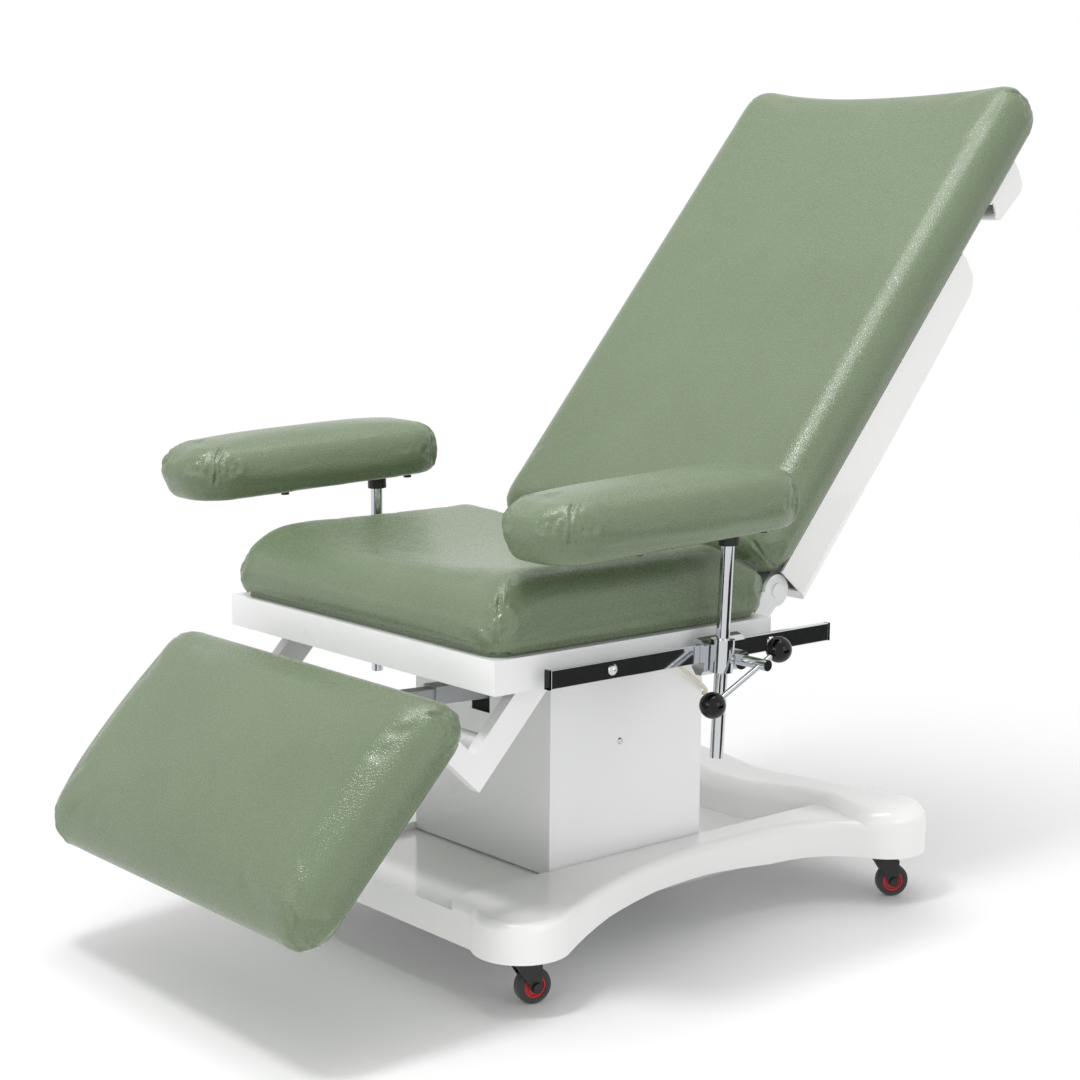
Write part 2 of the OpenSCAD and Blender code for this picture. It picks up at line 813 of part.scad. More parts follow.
// Rounded rectangle's outline with points along its sides
function corner_centre(q, hw, hl, r) =
    let (s = [[1, 1], [-1, 1], [-1, -1], [1, -1]][q % 4]) [s[0] * (hw - r), s[1] * (hl - r)];
function corner_point(q, hw, hl, r, a) = corner_centre(q, hw, hl, r) + r * [cos(90 * q + a),
    sin(90 * q + a)];
function pad_outline(hw, hl, r, arc_n, side_n) =
    [for (q = [0:3]) for (i = [0:arc_n + side_n - 1])
        i <= arc_n
            ? corner_point(q, hw, hl, r, 90 * i / arc_n)
            : let (f = (i - arc_n) / side_n)
                corner_point(q, hw, hl, r, 90) * (1 - f) + corner_point(q + 1, hw, hl, r, 0) * f];

// Shares of the way in at which a pad's crown has its rings, and of the way up at which its side is fullest
top_shares = [0.93, 0.82, 0.66, 0.46, 0.24];
side_share = 0.6;

// A point of a pad's outline, drawn in towards the middle of the pad's far end
function dipped(p, hw, hl, dip) =
    [p[0], p[1] - dip * pow(max(0, p[1] / hl), 4) * pow(cos(90 * p[0] / hw), 2)];

// Outline of the board under a pad, with as many points as the pad's own rings
function board_shape(w, l, corner, dip, arc_n, side_n) = [for (p = pad_outline(w / 2 - board_inset,
    l / 2 - board_inset, corner - board_inset, arc_n, side_n)) dipped(p, w / 2, l / 2, dip)];

module pad_board(w, l, corner, dip, side_n)
    linear_extrude(board_t) polygon(board_shape(w, l, corner, dip, 4, side_n));

// Upholstered pad standing on its board: sides drawn in at the foot, a rounded shoulder and a crowned top.
// The dish hollows it across and the dip lowers the middle of its far end.
module upholstered(w, l, h, corner, foot_in, shoulder, crown, dish, dip, arc_n, side_n, pocket) {
    hw = w / 2;
    hl = l / 2;
    steps = 4;
    low = h - shoulder;
    side_rings = concat(
        [[foot_in, 0], [foot_in / 3, low / 4], [0, low * side_share]],
        [for (k = [0:steps]) let (a = 90 * k / steps) [shoulder * (1 - cos(a)), low + shoulder * sin(a)]]
    );
    function dished(p, s) = let (u = p[0] / hw)
        crown * (1 - s * s) - dish * pow(max(0, 1 - u * u), 2) * (1 - pow(s, 6));
    pocket_ring = board_shape(w + 2 * gap, l + 2 * gap, corner + gap, dip, arc_n, side_n);
    rings = concat(
        [for (z = pocket > 0 ? [pocket, 0] : []) at_height(pocket_ring, z)],
        [for (r = side_rings) [for (p = pad_outline(hw - r[0], hl - r[0], max(corner - r[0], corner / 3),
            arc_n, side_n))
            let (q = dipped(p, hw, hl, dip)) [q[0], q[1], r[1]]]],
        [for (s = top_shares)
            [for (p = pad_outline(hw - shoulder, hl - shoulder, max(corner - shoulder, corner / 3), arc_n,
                side_n))
                let (q = dipped(s * p, hw, hl, dip)) [q[0], q[1], h + dished(s * p, s)]]]
    );
    ring_stack(rings, [0, 0, h + crown - dish]);
}

module seat_board() {
    color(black) translate([0, seat_y, seat_top + gap])
        pad_board(seat_w - board_inset, seat_l - board_inset, seat_corner, 0, 1);
}

module seat_cushion() {
    z = seat_top + seat_seam;
    pocket = board_t + 2 * gap - seat_seam;
    color(vinyl_green) difference() {
        translate([0, seat_y, z]) upholstered(seat_w - 2 * seat_margin, seat_l - 2 * seat_margin,
            seat_cushion_h, seat_corner,
            foot_draw, seat_shoulder, seat_crown, seat_dish, 0, 4, 5, pocket);
        // Slope under the back's foot, clear of it at its most upright
        translate([0, back_pivot_y, back_pivot_z]) rotate([back_up - recline, 0, 0])
            translate([-seat_w, -seat_l, back_foot - foot_clear])
            cube([2 * seat_w, 2 * seat_l, seat_w]);
    }
}

module side_rail(side) {
    color(chrome) translate([side * rail_x - rail_t / 2, rail_y - rail_l / 2 + cap_t, rail_z - rail_h / 2])
        cube([rail_t, rail_l - 2 * cap_t, rail_h]);
}

module rail_left() side_rail(1);

module rail_right() side_rail(-1);

module rail_spacers() {
    color(gloss_white) for (side = [-1, 1]) for (y = [spacer_front_y, spacer_rear_y])
        translate([0, y, rail_z]) {
            a = side * seat_w / 2;
            b = side * (seat_w / 2 + rail_stand);
            rod_x(spacer_d, min(a, b), max(a, b));
        }
}

module rail_end_caps() {
    color(black) for (side = [-1, 1]) for (y = [rail_y - rail_l / 2, rail_y + rail_l / 2 - cap_t])
        translate([side * rail_x - rail_t / 2, y, rail_z - rail_h / 2]) cube([rail_t, cap_t, rail_h]);
}

// Cable from the seat frame down to the column's rear wall, as steps from where it leaves the frame
cable_d = 6;
cable_out = 24.5;
cable_exit = [column_w / 2 + cable_out, 0, frame_z + head_t / 2];
cable_steps = [[0, 0, 0], [0, 3, -11], [-1, 24, -29], [-5, 52, -52], [-11, 80, -70],
    [-18, 103, -85], [-28, 116, -94], [-42, 122, -100], [-53, 117.5, -104], [-56, 111, -105],
    [-56, 105.1, -105]];
cable_points = [for (step = cable_steps) cable_exit + step];

function unit(v) = v / norm(v);
function ring_at(points, i, radius, sides) =
    let (n = len(points), t = unit(points[min(i + 1, n - 1)] - points[max(i - 1, 0)]),
        u = unit(cross(t, [0.6, 0, 0.8])), v = cross(t, u))
    [for (k = [0:sides - 1]) points[i] + radius * (cos(360 * k / sides) * u + sin(360 * k / sides) * v)];

module power_cable() {
    sides = 8;
    n = len(cable_points);
    color(cable_cream) polyhedron(
        points = [for (i = [0:n - 1]) each ring_at(cable_points, i, cable_d / 2, sides)],
        faces = concat(
            [[for (k = [0:sides - 1]) k]],
            [for (i = [0:n - 2]) for (k = [0:sides - 1]) [i * sides + k, (i + 1) * sides + k,
                (i + 1) * sides + (k + 1) % sides]],
            [for (i = [0:n - 2]) for (k = [0:sides - 1]) [i * sides + k,
                (i + 1) * sides + (k + 1) % sides, i * sides + (k + 1) % sides]],
            [[for (k = [sides - 1:-1:0]) (n - 1) * sides + k]]
        )
    );
}

// Frames of the moving parts
module on_back() translate([0, back_pivot_y, back_pivot_z]) rotate([-recline, 0, 0]) children();

// Leg frame: Y runs down the leg rest, Z points out of its cushion
module on_leg() translate([0, leg_pivot_y, leg_pivot_z]) rotate([leg_slope, 0, 0]) mirror([0, 1, 0])
    children();

// Faces of the back's layers behind the pivot's plane
back_face = -88;
back_foot = 5;
back_plane_y = back_face + back_cushion_t;

module back_cushion() {
    color(vinyl_green) on_back() translate([0, back_plane_y, back_foot + back_l / 2]) rotate([90, 0, 0])
        upholstered(back_w, back_l, back_cushion_t - back_crown, back_corner, foot_draw, edge_shoulder,
            back_crown, 0, back_dip,
            4, 6, board_t + gap);
}

module back_board() {
    color(black) on_back() translate([0, back_plane_y, back_foot + back_l / 2]) rotate([90, 0, 0])
        pad_board(back_w, back_l, back_corner, back_dip, 6);
}

module back_frame() {
    y = back_plane_y + gap;
    lever = back_lug_r * [sin(back_lug_turn + recline), -cos(back_lug_turn + recline)];
    color(steel_grey) on_back() difference() {
        union() {
            for (side = [-1, 1]) {
                translate([side * back_arm_x, y, 0]) bar(back_arm_w, back_bar_t, back_frame_l);
                translate([side * back_arm_x - back_arm_w / 2, 0, 0]) rotate([0, 90, 0])
                    cylinder(r = boss_r, h = back_arm_w);
            }
            for (z = [lever_z, back_frame_l / 2, back_frame_l - back_bar_t])
                translate([0, y, z]) bar(2 * back_arm_x, back_bar_t, back_bar_t);
            // Lever that the back actuator pulls
            for (side = [-1, 1]) translate([side * (lever_gap + lug_t) / 2 - lug_t / 2, 0, 0])
                rotate([90, 0, 90]) linear_extrude(lug_t) {
                polygon([
                    [y, lever_z + back_bar_t], [y + back_bar_t, lever_z + back_bar_t],
                        [y + back_bar_t, lever_z],
                    lever + [lever_eye_r, 0], lever - [lever_eye_r, 0], [y, lever_z - boss_r]
                ]);
                translate(lever) circle(r = lever_eye_r);
            }
        }
        rod_x(pin_d + 2 * fit, -seat_w / 2, seat_w / 2);
    }
    color(chrome) on_back() rotate([recline + back_lug_turn, 0, 0]) translate([0, 0, -back_lug_r])
        rod_x(lug_pin_d, -lever_gap / 2 - lug_t, lever_gap / 2 + lug_t);
}

// Side view of the tray, from the hinge end to its upper end: steps from its rear face and its ends
tray_foot_z = 20;
tray_foot_steps = [[-4, 0], [0, 6]];
tray_head_steps = [[-18, -36], [-23, -22], [-34, -8], [-62, 0]];
tray_corner_r = 22;
tray_mouth_h = 60;
tray_mouth_d = 50;

function tray_profile(inset, reach) =
    let (deep = tray_depth - inset, foot = tray_foot_z + inset, head = tray_l - inset)
    concat(
        [[back_plane_y - reach, foot]], [for (p = tray_foot_steps) [deep, foot] + p],
        [for (p = tray_head_steps) [deep, head] + p], [[back_plane_y - reach, head]]
    );

module tray_solid(inset, reach) {
    hw = back_w / 2 - tray_inset - inset;
    r = tray_corner_r - inset;
    intersection() {
        rotate([90, 0, 90]) translate([0, 0, -hw]) linear_extrude(2 * hw)
            polygon(tray_profile(inset, reach));
        linear_extrude(tray_l + over) polygon(concat(
            [[hw, back_plane_y - reach]], arc([hw - r, tray_depth - tray_corner_r], r, 0, 90, 5),
            arc([r - hw, tray_depth - tray_corner_r], r, 90, 180, 5), [[-hw, back_plane_y - reach]]
        ));
    }
}

module back_shell() {
    color(gloss_white) on_back() difference() {
        tray_solid(0, 0);
        tray_solid(tray_wall, over);
        // Open foot that the frame's arms and lever pass through
        translate([0, back_plane_y - over, 0])
            bar(back_w - 2 * tray_inset - 2 * tray_wall, tray_mouth_d, tray_mouth_h);
    }
}

// Side view of the push handle: steps from its upper end and from its lower end on the back's plane
handle_side_in = 1;
handle_lip_steps = [[27, 0], [22, 2], [21, 6]];
handle_reach_steps = [[36, 8], [33, 3]];
handle_head_steps = [[0, 6], [20, 2]];
handle_crest_steps = [[1, -6], [6, -16], [5, -26]];
handle_inner_steps = [[1, -26], [1, -16], [-4, -9]];
handle_root_h = 8;
handle_root_in = 2;
handle_gusset_steps = [[6, 14], [0, 10]];

module push_handle() {
    head = [back_plane_y + gap, back_l - handle_drop];
    foot = head - [0, handle_l];
    crest = head + [handle_depth, 0];
    hw = back_w / 2 - tray_inset - handle_side_in;
    outer = concat(
        [for (p = handle_head_steps) head + p], [for (p = handle_crest_steps) crest + p],
        [for (p = handle_reach_steps) foot + p], [for (p = handle_lip_steps) foot + p]
    );
    inner = concat(
        [for (p = handle_inner_steps) crest + p],
        [head + [tray_wall, -handle_root_in], foot + [tray_wall, handle_root_h], foot + [0, handle_root_h]]
    );
    color(gloss_white) on_back() {
        rotate([90, 0, 90]) translate([0, 0, -hw]) linear_extrude(2 * hw) polygon(concat(outer, inner));
        for (side = [-1, 1]) translate([side * (hw - tray_wall / 2) - tray_wall / 2, 0, 0])
            rotate([90, 0, 90])
            linear_extrude(tray_wall) polygon(concat(outer, [for (p = handle_gusset_steps) foot + p]));
    }
}

// Back actuator: its rod swings on the back's lever and its tube slides along the rod
back_lug = [back_pivot_y + back_lug_r * sin(back_lug_turn), back_pivot_z - back_lug_r * cos(back_lug_turn)];
back_rod_tilt = atan2(back_tail_z - back_lug[1], back_lug[0] - back_tail_y);

module on_back_actuator() translate([0, back_lug[0], back_lug[1]]) rotate([-back_rod_tilt, 0, 0])
    children();

module back_actuator_rod() {
    length = back_lug[0] - back_tail_y - back_rod_short;
    color(chrome) on_back_actuator() difference() {
        union() {
            rotate([90, 0, 0]) cylinder(d = back_rod_d, h = length);
            rod_x(back_rod_eye_d, -lever_gap / 2 + gap, lever_gap / 2 - gap);
        }
        rod_x(lug_pin_d + 2 * fit, -lever_gap, lever_gap);
    }
}

module back_actuator_tube() {
    length = back_lug[0] - back_tail_y;
    tube_l = length - back_tube_rear;
    color(black) on_back_actuator() difference() {
        union() {
            translate([0, -back_tube_rear, 0]) rotate([90, 0, 0])
                cylinder(d = back_tube_d, h = tube_l - back_tube_short);
            translate([back_eye_in - back_tube_d / 2, -length, 0]) rotate([0, 90, 0])
                cylinder(d = back_eye_d, h = back_tube_d - 2 * back_eye_in);
        }
        translate([0, over - back_tube_rear, 0]) rotate([90, 0, 0])
            cylinder(d = back_rod_d + 2 * fit, h = tube_l - tube_end);
        translate([0, -length, 0]) rod_x(tail_pin_d + 2 * open_pivot_slack, -back_tube_d, back_tube_d);
    }
}

// Leg rest
module leg_frame() {
    strap_n = leg_cushion_n - leg_strap_t;
    strap_u = leg_reach + strap_in;
    color(gloss_white) on_leg() difference() {
        union() {
            for (side = [-1, 1]) {
                translate([side * leg_arm_x, -leg_arm_heel, leg_arm_top - leg_arm_h])
                    bar(leg_arm_t, leg_arm_end + leg_arm_heel, leg_arm_h);
                translate([side * leg_arm_x, strap_u, leg_arm_top - over])
                    bar(leg_arm_t, leg_arm_end - strap_u, strap_n - leg_arm_top + over);
                translate([side * leg_arm_x, strap_u, strap_n - gap])
                    bar(leg_strap_w, leg_l - strap_short, leg_strap_t);
            }
            translate([0, leg_cross_u, 0]) rod_x(leg_cross_d, -leg_arm_x, leg_arm_x);
            for (side = [-1, 1]) translate([side * (lug_gap + lug_t) / 2 - lug_t / 2, 0, 0])
                rotate([90, 0, 90])
                linear_extrude(lug_t) {
                    polygon([
                        [leg_lug_u, leg_lug_n - leg_eye_r], [leg_cross_u, -leg_cross_d / 2],
                        [leg_cross_u, leg_cross_d / 2], [leg_lug_u, leg_lug_n + leg_eye_r]
                    ]);
                    translate([leg_lug_u, leg_lug_n]) circle(r = leg_eye_r);
                }
        }
        rod_x(pin_d + 2 * fit, -seat_w, seat_w);
    }
    color(chrome) on_leg() translate([0, leg_lug_u, leg_lug_n])
        rod_x(lug_pin_d, -lug_gap / 2 - lug_t, lug_gap / 2 + lug_t);
}

module leg_board() {
    color(black) on_leg() translate([0, leg_reach + leg_l / 2, leg_cushion_n])
        pad_board(leg_w, leg_l, leg_corner, 0, 1);
}

module leg_cushion() {
    color(vinyl_green) on_leg() translate([0, leg_reach + leg_l / 2, leg_cushion_n])
        upholstered(leg_w, leg_l, leg_cushion_t - leg_crown, leg_corner, foot_draw, edge_shoulder,
            leg_crown, 0, 0,
            4, 5, board_t + gap);
}

leg_lug = [
    leg_pivot_y - leg_lug_u * cos(leg_slope) - leg_lug_n * sin(leg_slope),
    leg_pivot_z - leg_lug_u * sin(leg_slope) + leg_lug_n * cos(leg_slope)
];
leg_rod_tilt = atan2(leg_lug[1] - leg_tail_z, leg_tail_y - leg_lug[0]);

// Leg actuator frame: Y runs from the leg's lug back to the column
module on_leg_actuator() translate([0, leg_lug[0], leg_lug[1]]) rotate([-leg_rod_tilt, 0, 0]) children();

module leg_actuator_rod() {
    length = leg_tail_y - leg_lug[0] - leg_rod_short;
    color(steel_grey) on_leg_actuator() difference() {
        union() {
            translate([0, 0, -leg_rod_h / 2]) bar(leg_rod_w, length, leg_rod_h);
            rod_x(leg_rod_h, -leg_rod_w / 2, leg_rod_w / 2);
        }
        rod_x(lug_pin_d + 2 * fit, -leg_rod_w, leg_rod_w);
    }
}

module leg_actuator_tube() {
    length = leg_tail_y - leg_lug[0];
    tube_l = length - leg_tube_front;
    color(steel_grey) on_leg_actuator() difference() {
        union() {
            translate([0, leg_tube_front, -leg_tube_h / 2]) bar(leg_tube_w, tube_l - over, leg_tube_h);
            translate([0, length, 0]) rod_x(tail_eye_d, -leg_tube_w / 2, leg_tube_w / 2);
        }
        translate([0, leg_tube_front - over, -leg_rod_h / 2 - gap])
            bar(leg_rod_w + 2 * gap, tube_l - tube_end, leg_rod_h + 2 * gap);
        translate([0, length, 0]) rod_x(tail_pin_d + 2 * open_pivot_slack, -leg_tube_w, leg_tube_w);
    }
}

// Arms
clamp_back = 12;
clamp_y = post_y + clamp_back;
clamp_inner_x = rail_x - rail_t / 2 - clamp_lip - gap;
clamp_outer_x = rail_x + rail_t / 2 + clamp_wall;
clamp_low_z = rail_z - rail_h / 2 - 2 * clamp_wall;
clamp_high_z = rail_z + rail_h / 2 + clamp_wall;
clamp_foot_steps = [[0, 10], [8, 0]];
clamp_heel_steps = [[-6, 0], [0, 8]];
clamp_shoulder_steps = [[0, -8], [-6, -2], [-14, 0]];
clamp_hook_steps = [[4, 0], [0, -4]];
clamp_hook = 6;
post_boss_low = 24;
post_boss_high = 20;
screw_boss_d = 26;
screw_boss_l = 20;
bar_socket = 4;
post_short = 2;
post_end = 20;
plate_front = 60;
plate_bolt_x = 18;
plate_bolt_in = 16;
socket_l = 22;
socket_wall = 5;
pad_corner = 52;
pad_foot_draw = 10;
pad_shoulder = 30;
pad_crown = 6;

function post_reach(side) =
    (pad_rise + arm_lift(side) - rail_z) / cos(arm_lean(side)) - plate_t - post_short;

module on_arm(side) translate([0, arm_shift(side), 0]) mirror([side == "left" ? 0 : 1, 0, 0]) children();

// Frame of a post at the height of its clamp
module at_post(side) translate([post_x, post_y, rail_z]) rotate([-arm_lean(side), 0, 0]) children();

module at_screw() translate([0, post_y + screw_offset_y, rail_z - screw_drop]) children();

module rail_channel() translate([rail_x - rail_t / 2 - gap, clamp_y - clamp_w, rail_z - rail_h / 2 - gap])
    cube([rail_t + 2 * gap, 2 * clamp_w, rail_h + 2 * gap]);

module clamp_body() {
    profile = concat(
        [for (p = clamp_foot_steps) [clamp_inner_x, clamp_low_z] + p],
            [for (p = clamp_heel_steps) [clamp_outer_x, clamp_low_z] + p],
        [for (p = clamp_shoulder_steps) [clamp_outer_x, clamp_high_z] + p],
            [for (p = clamp_hook_steps) [clamp_inner_x, clamp_high_z] + p]
    );
    difference() {
        rotate([90, 0, 0]) translate([0, 0, -clamp_y - clamp_w / 2]) linear_extrude(clamp_w)
            polygon(profile);
        // Gap between the hook and the lower jaw
        translate([clamp_inner_x - over, clamp_y - clamp_w, rail_z - rail_h / 2 + clamp_hook])
            cube([clamp_lip + 2 * (gap + over), 2 * clamp_w, rail_h - 2 * clamp_hook]);
    }
}

module arm_clamp(side) {
    color(chrome) on_arm(side) difference() {
        union() {
            clamp_body();
            at_post(side) translate([0, 0, -post_boss_low])
                cylinder(r = post_boss_r, h = post_boss_low + post_boss_high);
            at_screw() rod_x(screw_boss_d, clamp_outer_x - clamp_wall / 2, clamp_outer_x + screw_boss_l);
        }
        rail_channel();
        at_post(side) translate([0, 0, -clamp_w]) cylinder(d = post_bore_d, h = 2 * clamp_w);
        at_screw() rod_x(screw_d + 2 * fit, rail_x, screw_x_end);
    }
}

module on_bar(side) on_arm(side) at_screw() translate([bar_x, 0, 0]) rotate([bar_turn, 0, 0]) children();

// Tommy bar, from inside one ball knob to inside the other
module bar_between_knobs() translate([0, bar_rear - knob_d / 2 + bar_socket, 0]) rotate([90, 0, 0])
    cylinder(d = bar_d, h = bar_rear + bar_front - knob_d + 2 * bar_socket);

module clamp_screw(side) {
    color(chrome) difference() {
        on_arm(side) at_screw() rod_x(screw_d, rail_x + rail_t / 2 + gap, screw_x_end);
        on_bar(side) rotate([90, 0, 0]) cylinder(d = bar_d + 2 * fit, h = 2 * screw_d, center = true);
    }
}

module tommy_bar(side) color(chrome) on_bar(side) bar_between_knobs();

module arm_knobs(side) {
    color(black) on_bar(side) difference() {
        for (y = [bar_rear, -bar_front]) translate([0, y, 0]) sphere(d = knob_d);
        bar_between_knobs();
    }
}

// Frame of a pad at the middle of its post's top
module at_pad(side) translate([post_x, post_y + (pad_rise - rail_z) * tan(arm_lean(side)),
    pad_rise + arm_lift(side)])
    rotate([pad_slope, 0, arm_yaw(side)]) children();

module arm_post(side) {
    color(chrome) on_arm(side) at_post(side) translate([0, 0, post_reach(side) - post_l]) difference() {
        cylinder(d = post_d, h = post_l);
        translate([0, 0, -over]) cylinder(d = post_d - 2 * post_wall, h = post_l - post_end);
    }
}

module arm_plate(side) {
    color(black) on_arm(side) difference() {
        at_pad(side) {
            translate([0, plate_front - plate_l, -plate_t - gap]) bar(plate_w, plate_l, plate_t);
            translate([0, 0, -socket_l]) cylinder(d = post_d + 2 * socket_wall, h = socket_l - gap - over);
            for (y = [plate_front - plate_l + plate_bolt_in, plate_front - plate_bolt_in])
                for (x = [-plate_bolt_x, plate_bolt_x])
                translate([x, y, -plate_t - gap - bolt_head_h]) cylinder(d = bolt_head_d, h = bolt_head_h);
        }
        at_post(side) translate([0, 0, post_l / 3])
            cylinder(d = post_bore_d, h = post_reach(side) - post_l / 3);
    }
}

module arm_pad(side) {
    front = pad_l * pad_front_share;
    color(vinyl_green) on_arm(side) at_pad(side) translate([0, pad_l / 2 - front, 0])
        upholstered(pad_w, pad_l, pad_h - pad_crown, pad_corner, pad_foot_draw, pad_shoulder, pad_crown,
            0, 0, 5, 3, 0);
}

module arm_clamp_left() arm_clamp("left");

module arm_clamp_right() arm_clamp("right");

module clamp_screw_left() clamp_screw("left");

module clamp_screw_right() clamp_screw("right");

module tommy_bar_left() tommy_bar("left");

module tommy_bar_right() tommy_bar("right");

module arm_knobs_left() arm_knobs("left");

module arm_knobs_right() arm_knobs("right");

module arm_post_left() arm_post("left");

module arm_post_right() arm_post("right");

module arm_plate_left() arm_plate("left");

module arm_plate_right() arm_plate("right");

module arm_pad_left() arm_pad("left");

module arm_pad_right() arm_pad("right");

// Casters
race_d = 30;
race_h = 3;
plate_side = 56;
caster_plate_t = 2.5;
kingpin_d = 10;
kingpin_h = 12;
kingpin_drop = 6;
kingpin_head_w = 3;
kingpin_head_h = 5;
fork_t = 3;
fork_clear = 1.5;
fork_crown = 6;
fork_top = caster_h - caster_plate_t - race_h - gap;
fork_foot = fork_top - fork_t - kingpin_drop;
fork_back_steps = [[-15, -8], [-15, 0], [14, 0]];
fork_front_drop = 12;
fork_cheek = 8;
axle_z = wheel_d / 2;
axle_d = 8;
axle_proud = 3;
nut_d = 13;
nut_t = 4;
rim_d = 31;
hub_r = 7;
web_r = 12;
rim_step = 1;
rim_edge = 0.5;
web_step = 3;
tread_round = 5;
tread_shoulder = 2;

module caster_plates() {
    color(black) for (x = [-lobe_x, lobe_x]) for (y = [front_y, rear_y]) translate([x, y, 0]) {
        translate([-plate_side / 2, -plate_side / 2, caster_h - caster_plate_t])
            cube([plate_side, plate_side, caster_plate_t]);
        translate([0, 0, fork_top + gap]) cylinder(d = race_d, h = race_h);
        translate([0, 0, fork_foot]) cylinder(d = kingpin_d, h = kingpin_h);
        translate([0, 0, fork_foot]) cylinder(d = kingpin_d + 2 * kingpin_head_w, h = kingpin_head_h);
    }
}

module on_caster(corner) translate([caster_side(corner) * lobe_x, caster_y(corner), 0])
    rotate([0, 0, caster_turn(corner)]) children();

module at_axle(corner) on_caster(corner) translate([0, trail, axle_z]) children();

module caster_fork(corner) {
    inner = wheel_w / 2 + fork_clear;
    outer = inner + fork_t;
    color(black) difference() {
        union() {
            on_caster(corner) {
                translate([0, 0, fork_top - fork_t]) cylinder(r = outer + fork_crown, h = fork_t);
                for (side = [-1, 1]) translate([side * (inner + fork_t / 2) - fork_t / 2, 0, 0])
                    rotate([90, 0, 90])
                    linear_extrude(fork_t) {
                        polygon(concat(
                            [for (p = fork_back_steps) [0, fork_top] + p],
                            [[trail + fork_cheek, fork_top - fork_front_drop],
                                [trail + fork_cheek, axle_z], [trail - fork_cheek, axle_z]]
                        ));
                        translate([trail, axle_z]) circle(r = fork_cheek);
                    }
            }
            at_axle(corner) {
                rod_x(axle_d, -outer - axle_proud, outer + axle_proud);
                rod_x(nut_d, outer, outer + nut_t);
                rod_x(nut_d, -outer - nut_t, -outer);
            }
        }
        on_caster(corner) cylinder(d = kingpin_d + 2 * fit, h = caster_h);
    }
}

module caster_rim(corner) {
    w = wheel_w / 2;
    bore = axle_d / 2 + fit;
    // Half of the rim's section, from the bore to the tread's seat
    half = [
        [bore, w - rim_edge], [hub_r, w - rim_edge], [hub_r + rim_step, w - web_step],
        [web_r, w - web_step], [web_r + rim_step, w - rim_step], [rim_d / 2, w - rim_step]
    ];
    color(wheel_red) at_axle(corner) rotate([0, 90, 0]) rotate_extrude()
        polygon(concat([for (p = half) [p[0], -p[1]]], [for (i = [len(half) - 1:-1:0]) half[i]]));
}

module caster_tyre(corner) {
    w = wheel_w / 2;
    r = wheel_d / 2;
    half = [[rim_d / 2, w], [r - 2 * tread_shoulder, w], [r - rim_step, w - tread_shoulder],
        [r, w - tread_round]];
    color(black) at_axle(corner) rotate([0, 90, 0]) rotate_extrude()
        polygon(concat([for (p = half) [p[0], -p[1]]], [for (i = [len(half) - 1:-1:0]) half[i]]));
}

module caster_fork_fl() caster_fork("fl");

module caster_fork_fr() caster_fork("fr");

module caster_fork_rl() caster_fork("rl");

module caster_fork_rr() caster_fork("rr");

module caster_rim_fl() caster_rim("fl");

module caster_rim_fr() caster_rim("fr");

module caster_rim_rl() caster_rim("rl");

module caster_rim_rr() caster_rim("rr");

module caster_tyre_fl() caster_tyre("fl");

module caster_tyre_fr() caster_tyre("fr");

module caster_tyre_rl() caster_tyre("rl");

module caster_tyre_rr() caster_tyre("rr");

base_cover();
base_chassis();
column_shroud();
guide_tubes();
lift_actuator();
caster_plates();
caster_fork_fl();
caster_fork_fr();
caster_fork_rl();
caster_fork_rr();
caster_rim_fl();
caster_rim_fr();
caster_rim_rl();
caster_rim_rr();
caster_tyre_fl();
caster_tyre_fr();
caster_tyre_rl();
caster_tyre_rr();
seat_frame();
seat_board();
seat_cushion();
column_cover();
guide_sliders();
lift_rod();
rail_left();
rail_right();
rail_spacers();
rail_end_caps();
cover_screws();
pivot_pins();
power_cable();
back_frame();
back_board();
back_cushion();
back_shell();
push_handle();
back_actuator_rod();
back_actuator_tube();
leg_frame();
leg_board();
leg_cushion();
leg_actuator_rod();
leg_actuator_tube();
arm_clamp_left();
clamp_screw_left();
tommy_bar_left();
arm_knobs_left();
arm_post_left();
arm_plate_left();
arm_pad_left();
arm_clamp_right();
clamp_screw_right();
tommy_bar_right();
arm_knobs_right();
arm_post_right();
arm_plate_right();
arm_pad_right();
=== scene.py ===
import math

import bmesh
import bpy
import numpy as np
from mathutils import Matrix, Vector


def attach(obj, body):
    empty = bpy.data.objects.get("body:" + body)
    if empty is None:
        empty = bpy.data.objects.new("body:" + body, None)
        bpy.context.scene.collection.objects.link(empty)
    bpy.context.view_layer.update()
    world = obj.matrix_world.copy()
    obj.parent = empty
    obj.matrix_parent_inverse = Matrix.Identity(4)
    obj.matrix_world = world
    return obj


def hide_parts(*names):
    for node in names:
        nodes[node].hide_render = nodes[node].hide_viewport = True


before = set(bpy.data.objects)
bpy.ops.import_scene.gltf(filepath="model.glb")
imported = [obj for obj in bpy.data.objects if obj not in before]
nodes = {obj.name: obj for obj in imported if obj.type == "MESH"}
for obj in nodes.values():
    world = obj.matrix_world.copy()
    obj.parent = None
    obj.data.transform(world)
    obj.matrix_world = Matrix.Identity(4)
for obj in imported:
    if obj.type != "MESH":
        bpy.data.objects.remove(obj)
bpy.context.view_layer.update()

# Camera: at the front left corner of the chair, a little above the seat, with a long lens,
# so that the near rail and arm rest are seen side-on and the leg rest comes forward.
look_at = Vector((0.0, 0.0, 0.5172))
camera_away = 3.0151
camera_turn, camera_rise, camera_roll = math.radians(48.78), math.radians(9.23), math.radians(0.61)
lens_px, image_px, sensor_mm = 2085.2, 1080.0, 36.0
centre_right_px, centre_down_px = 39.0, 23.6

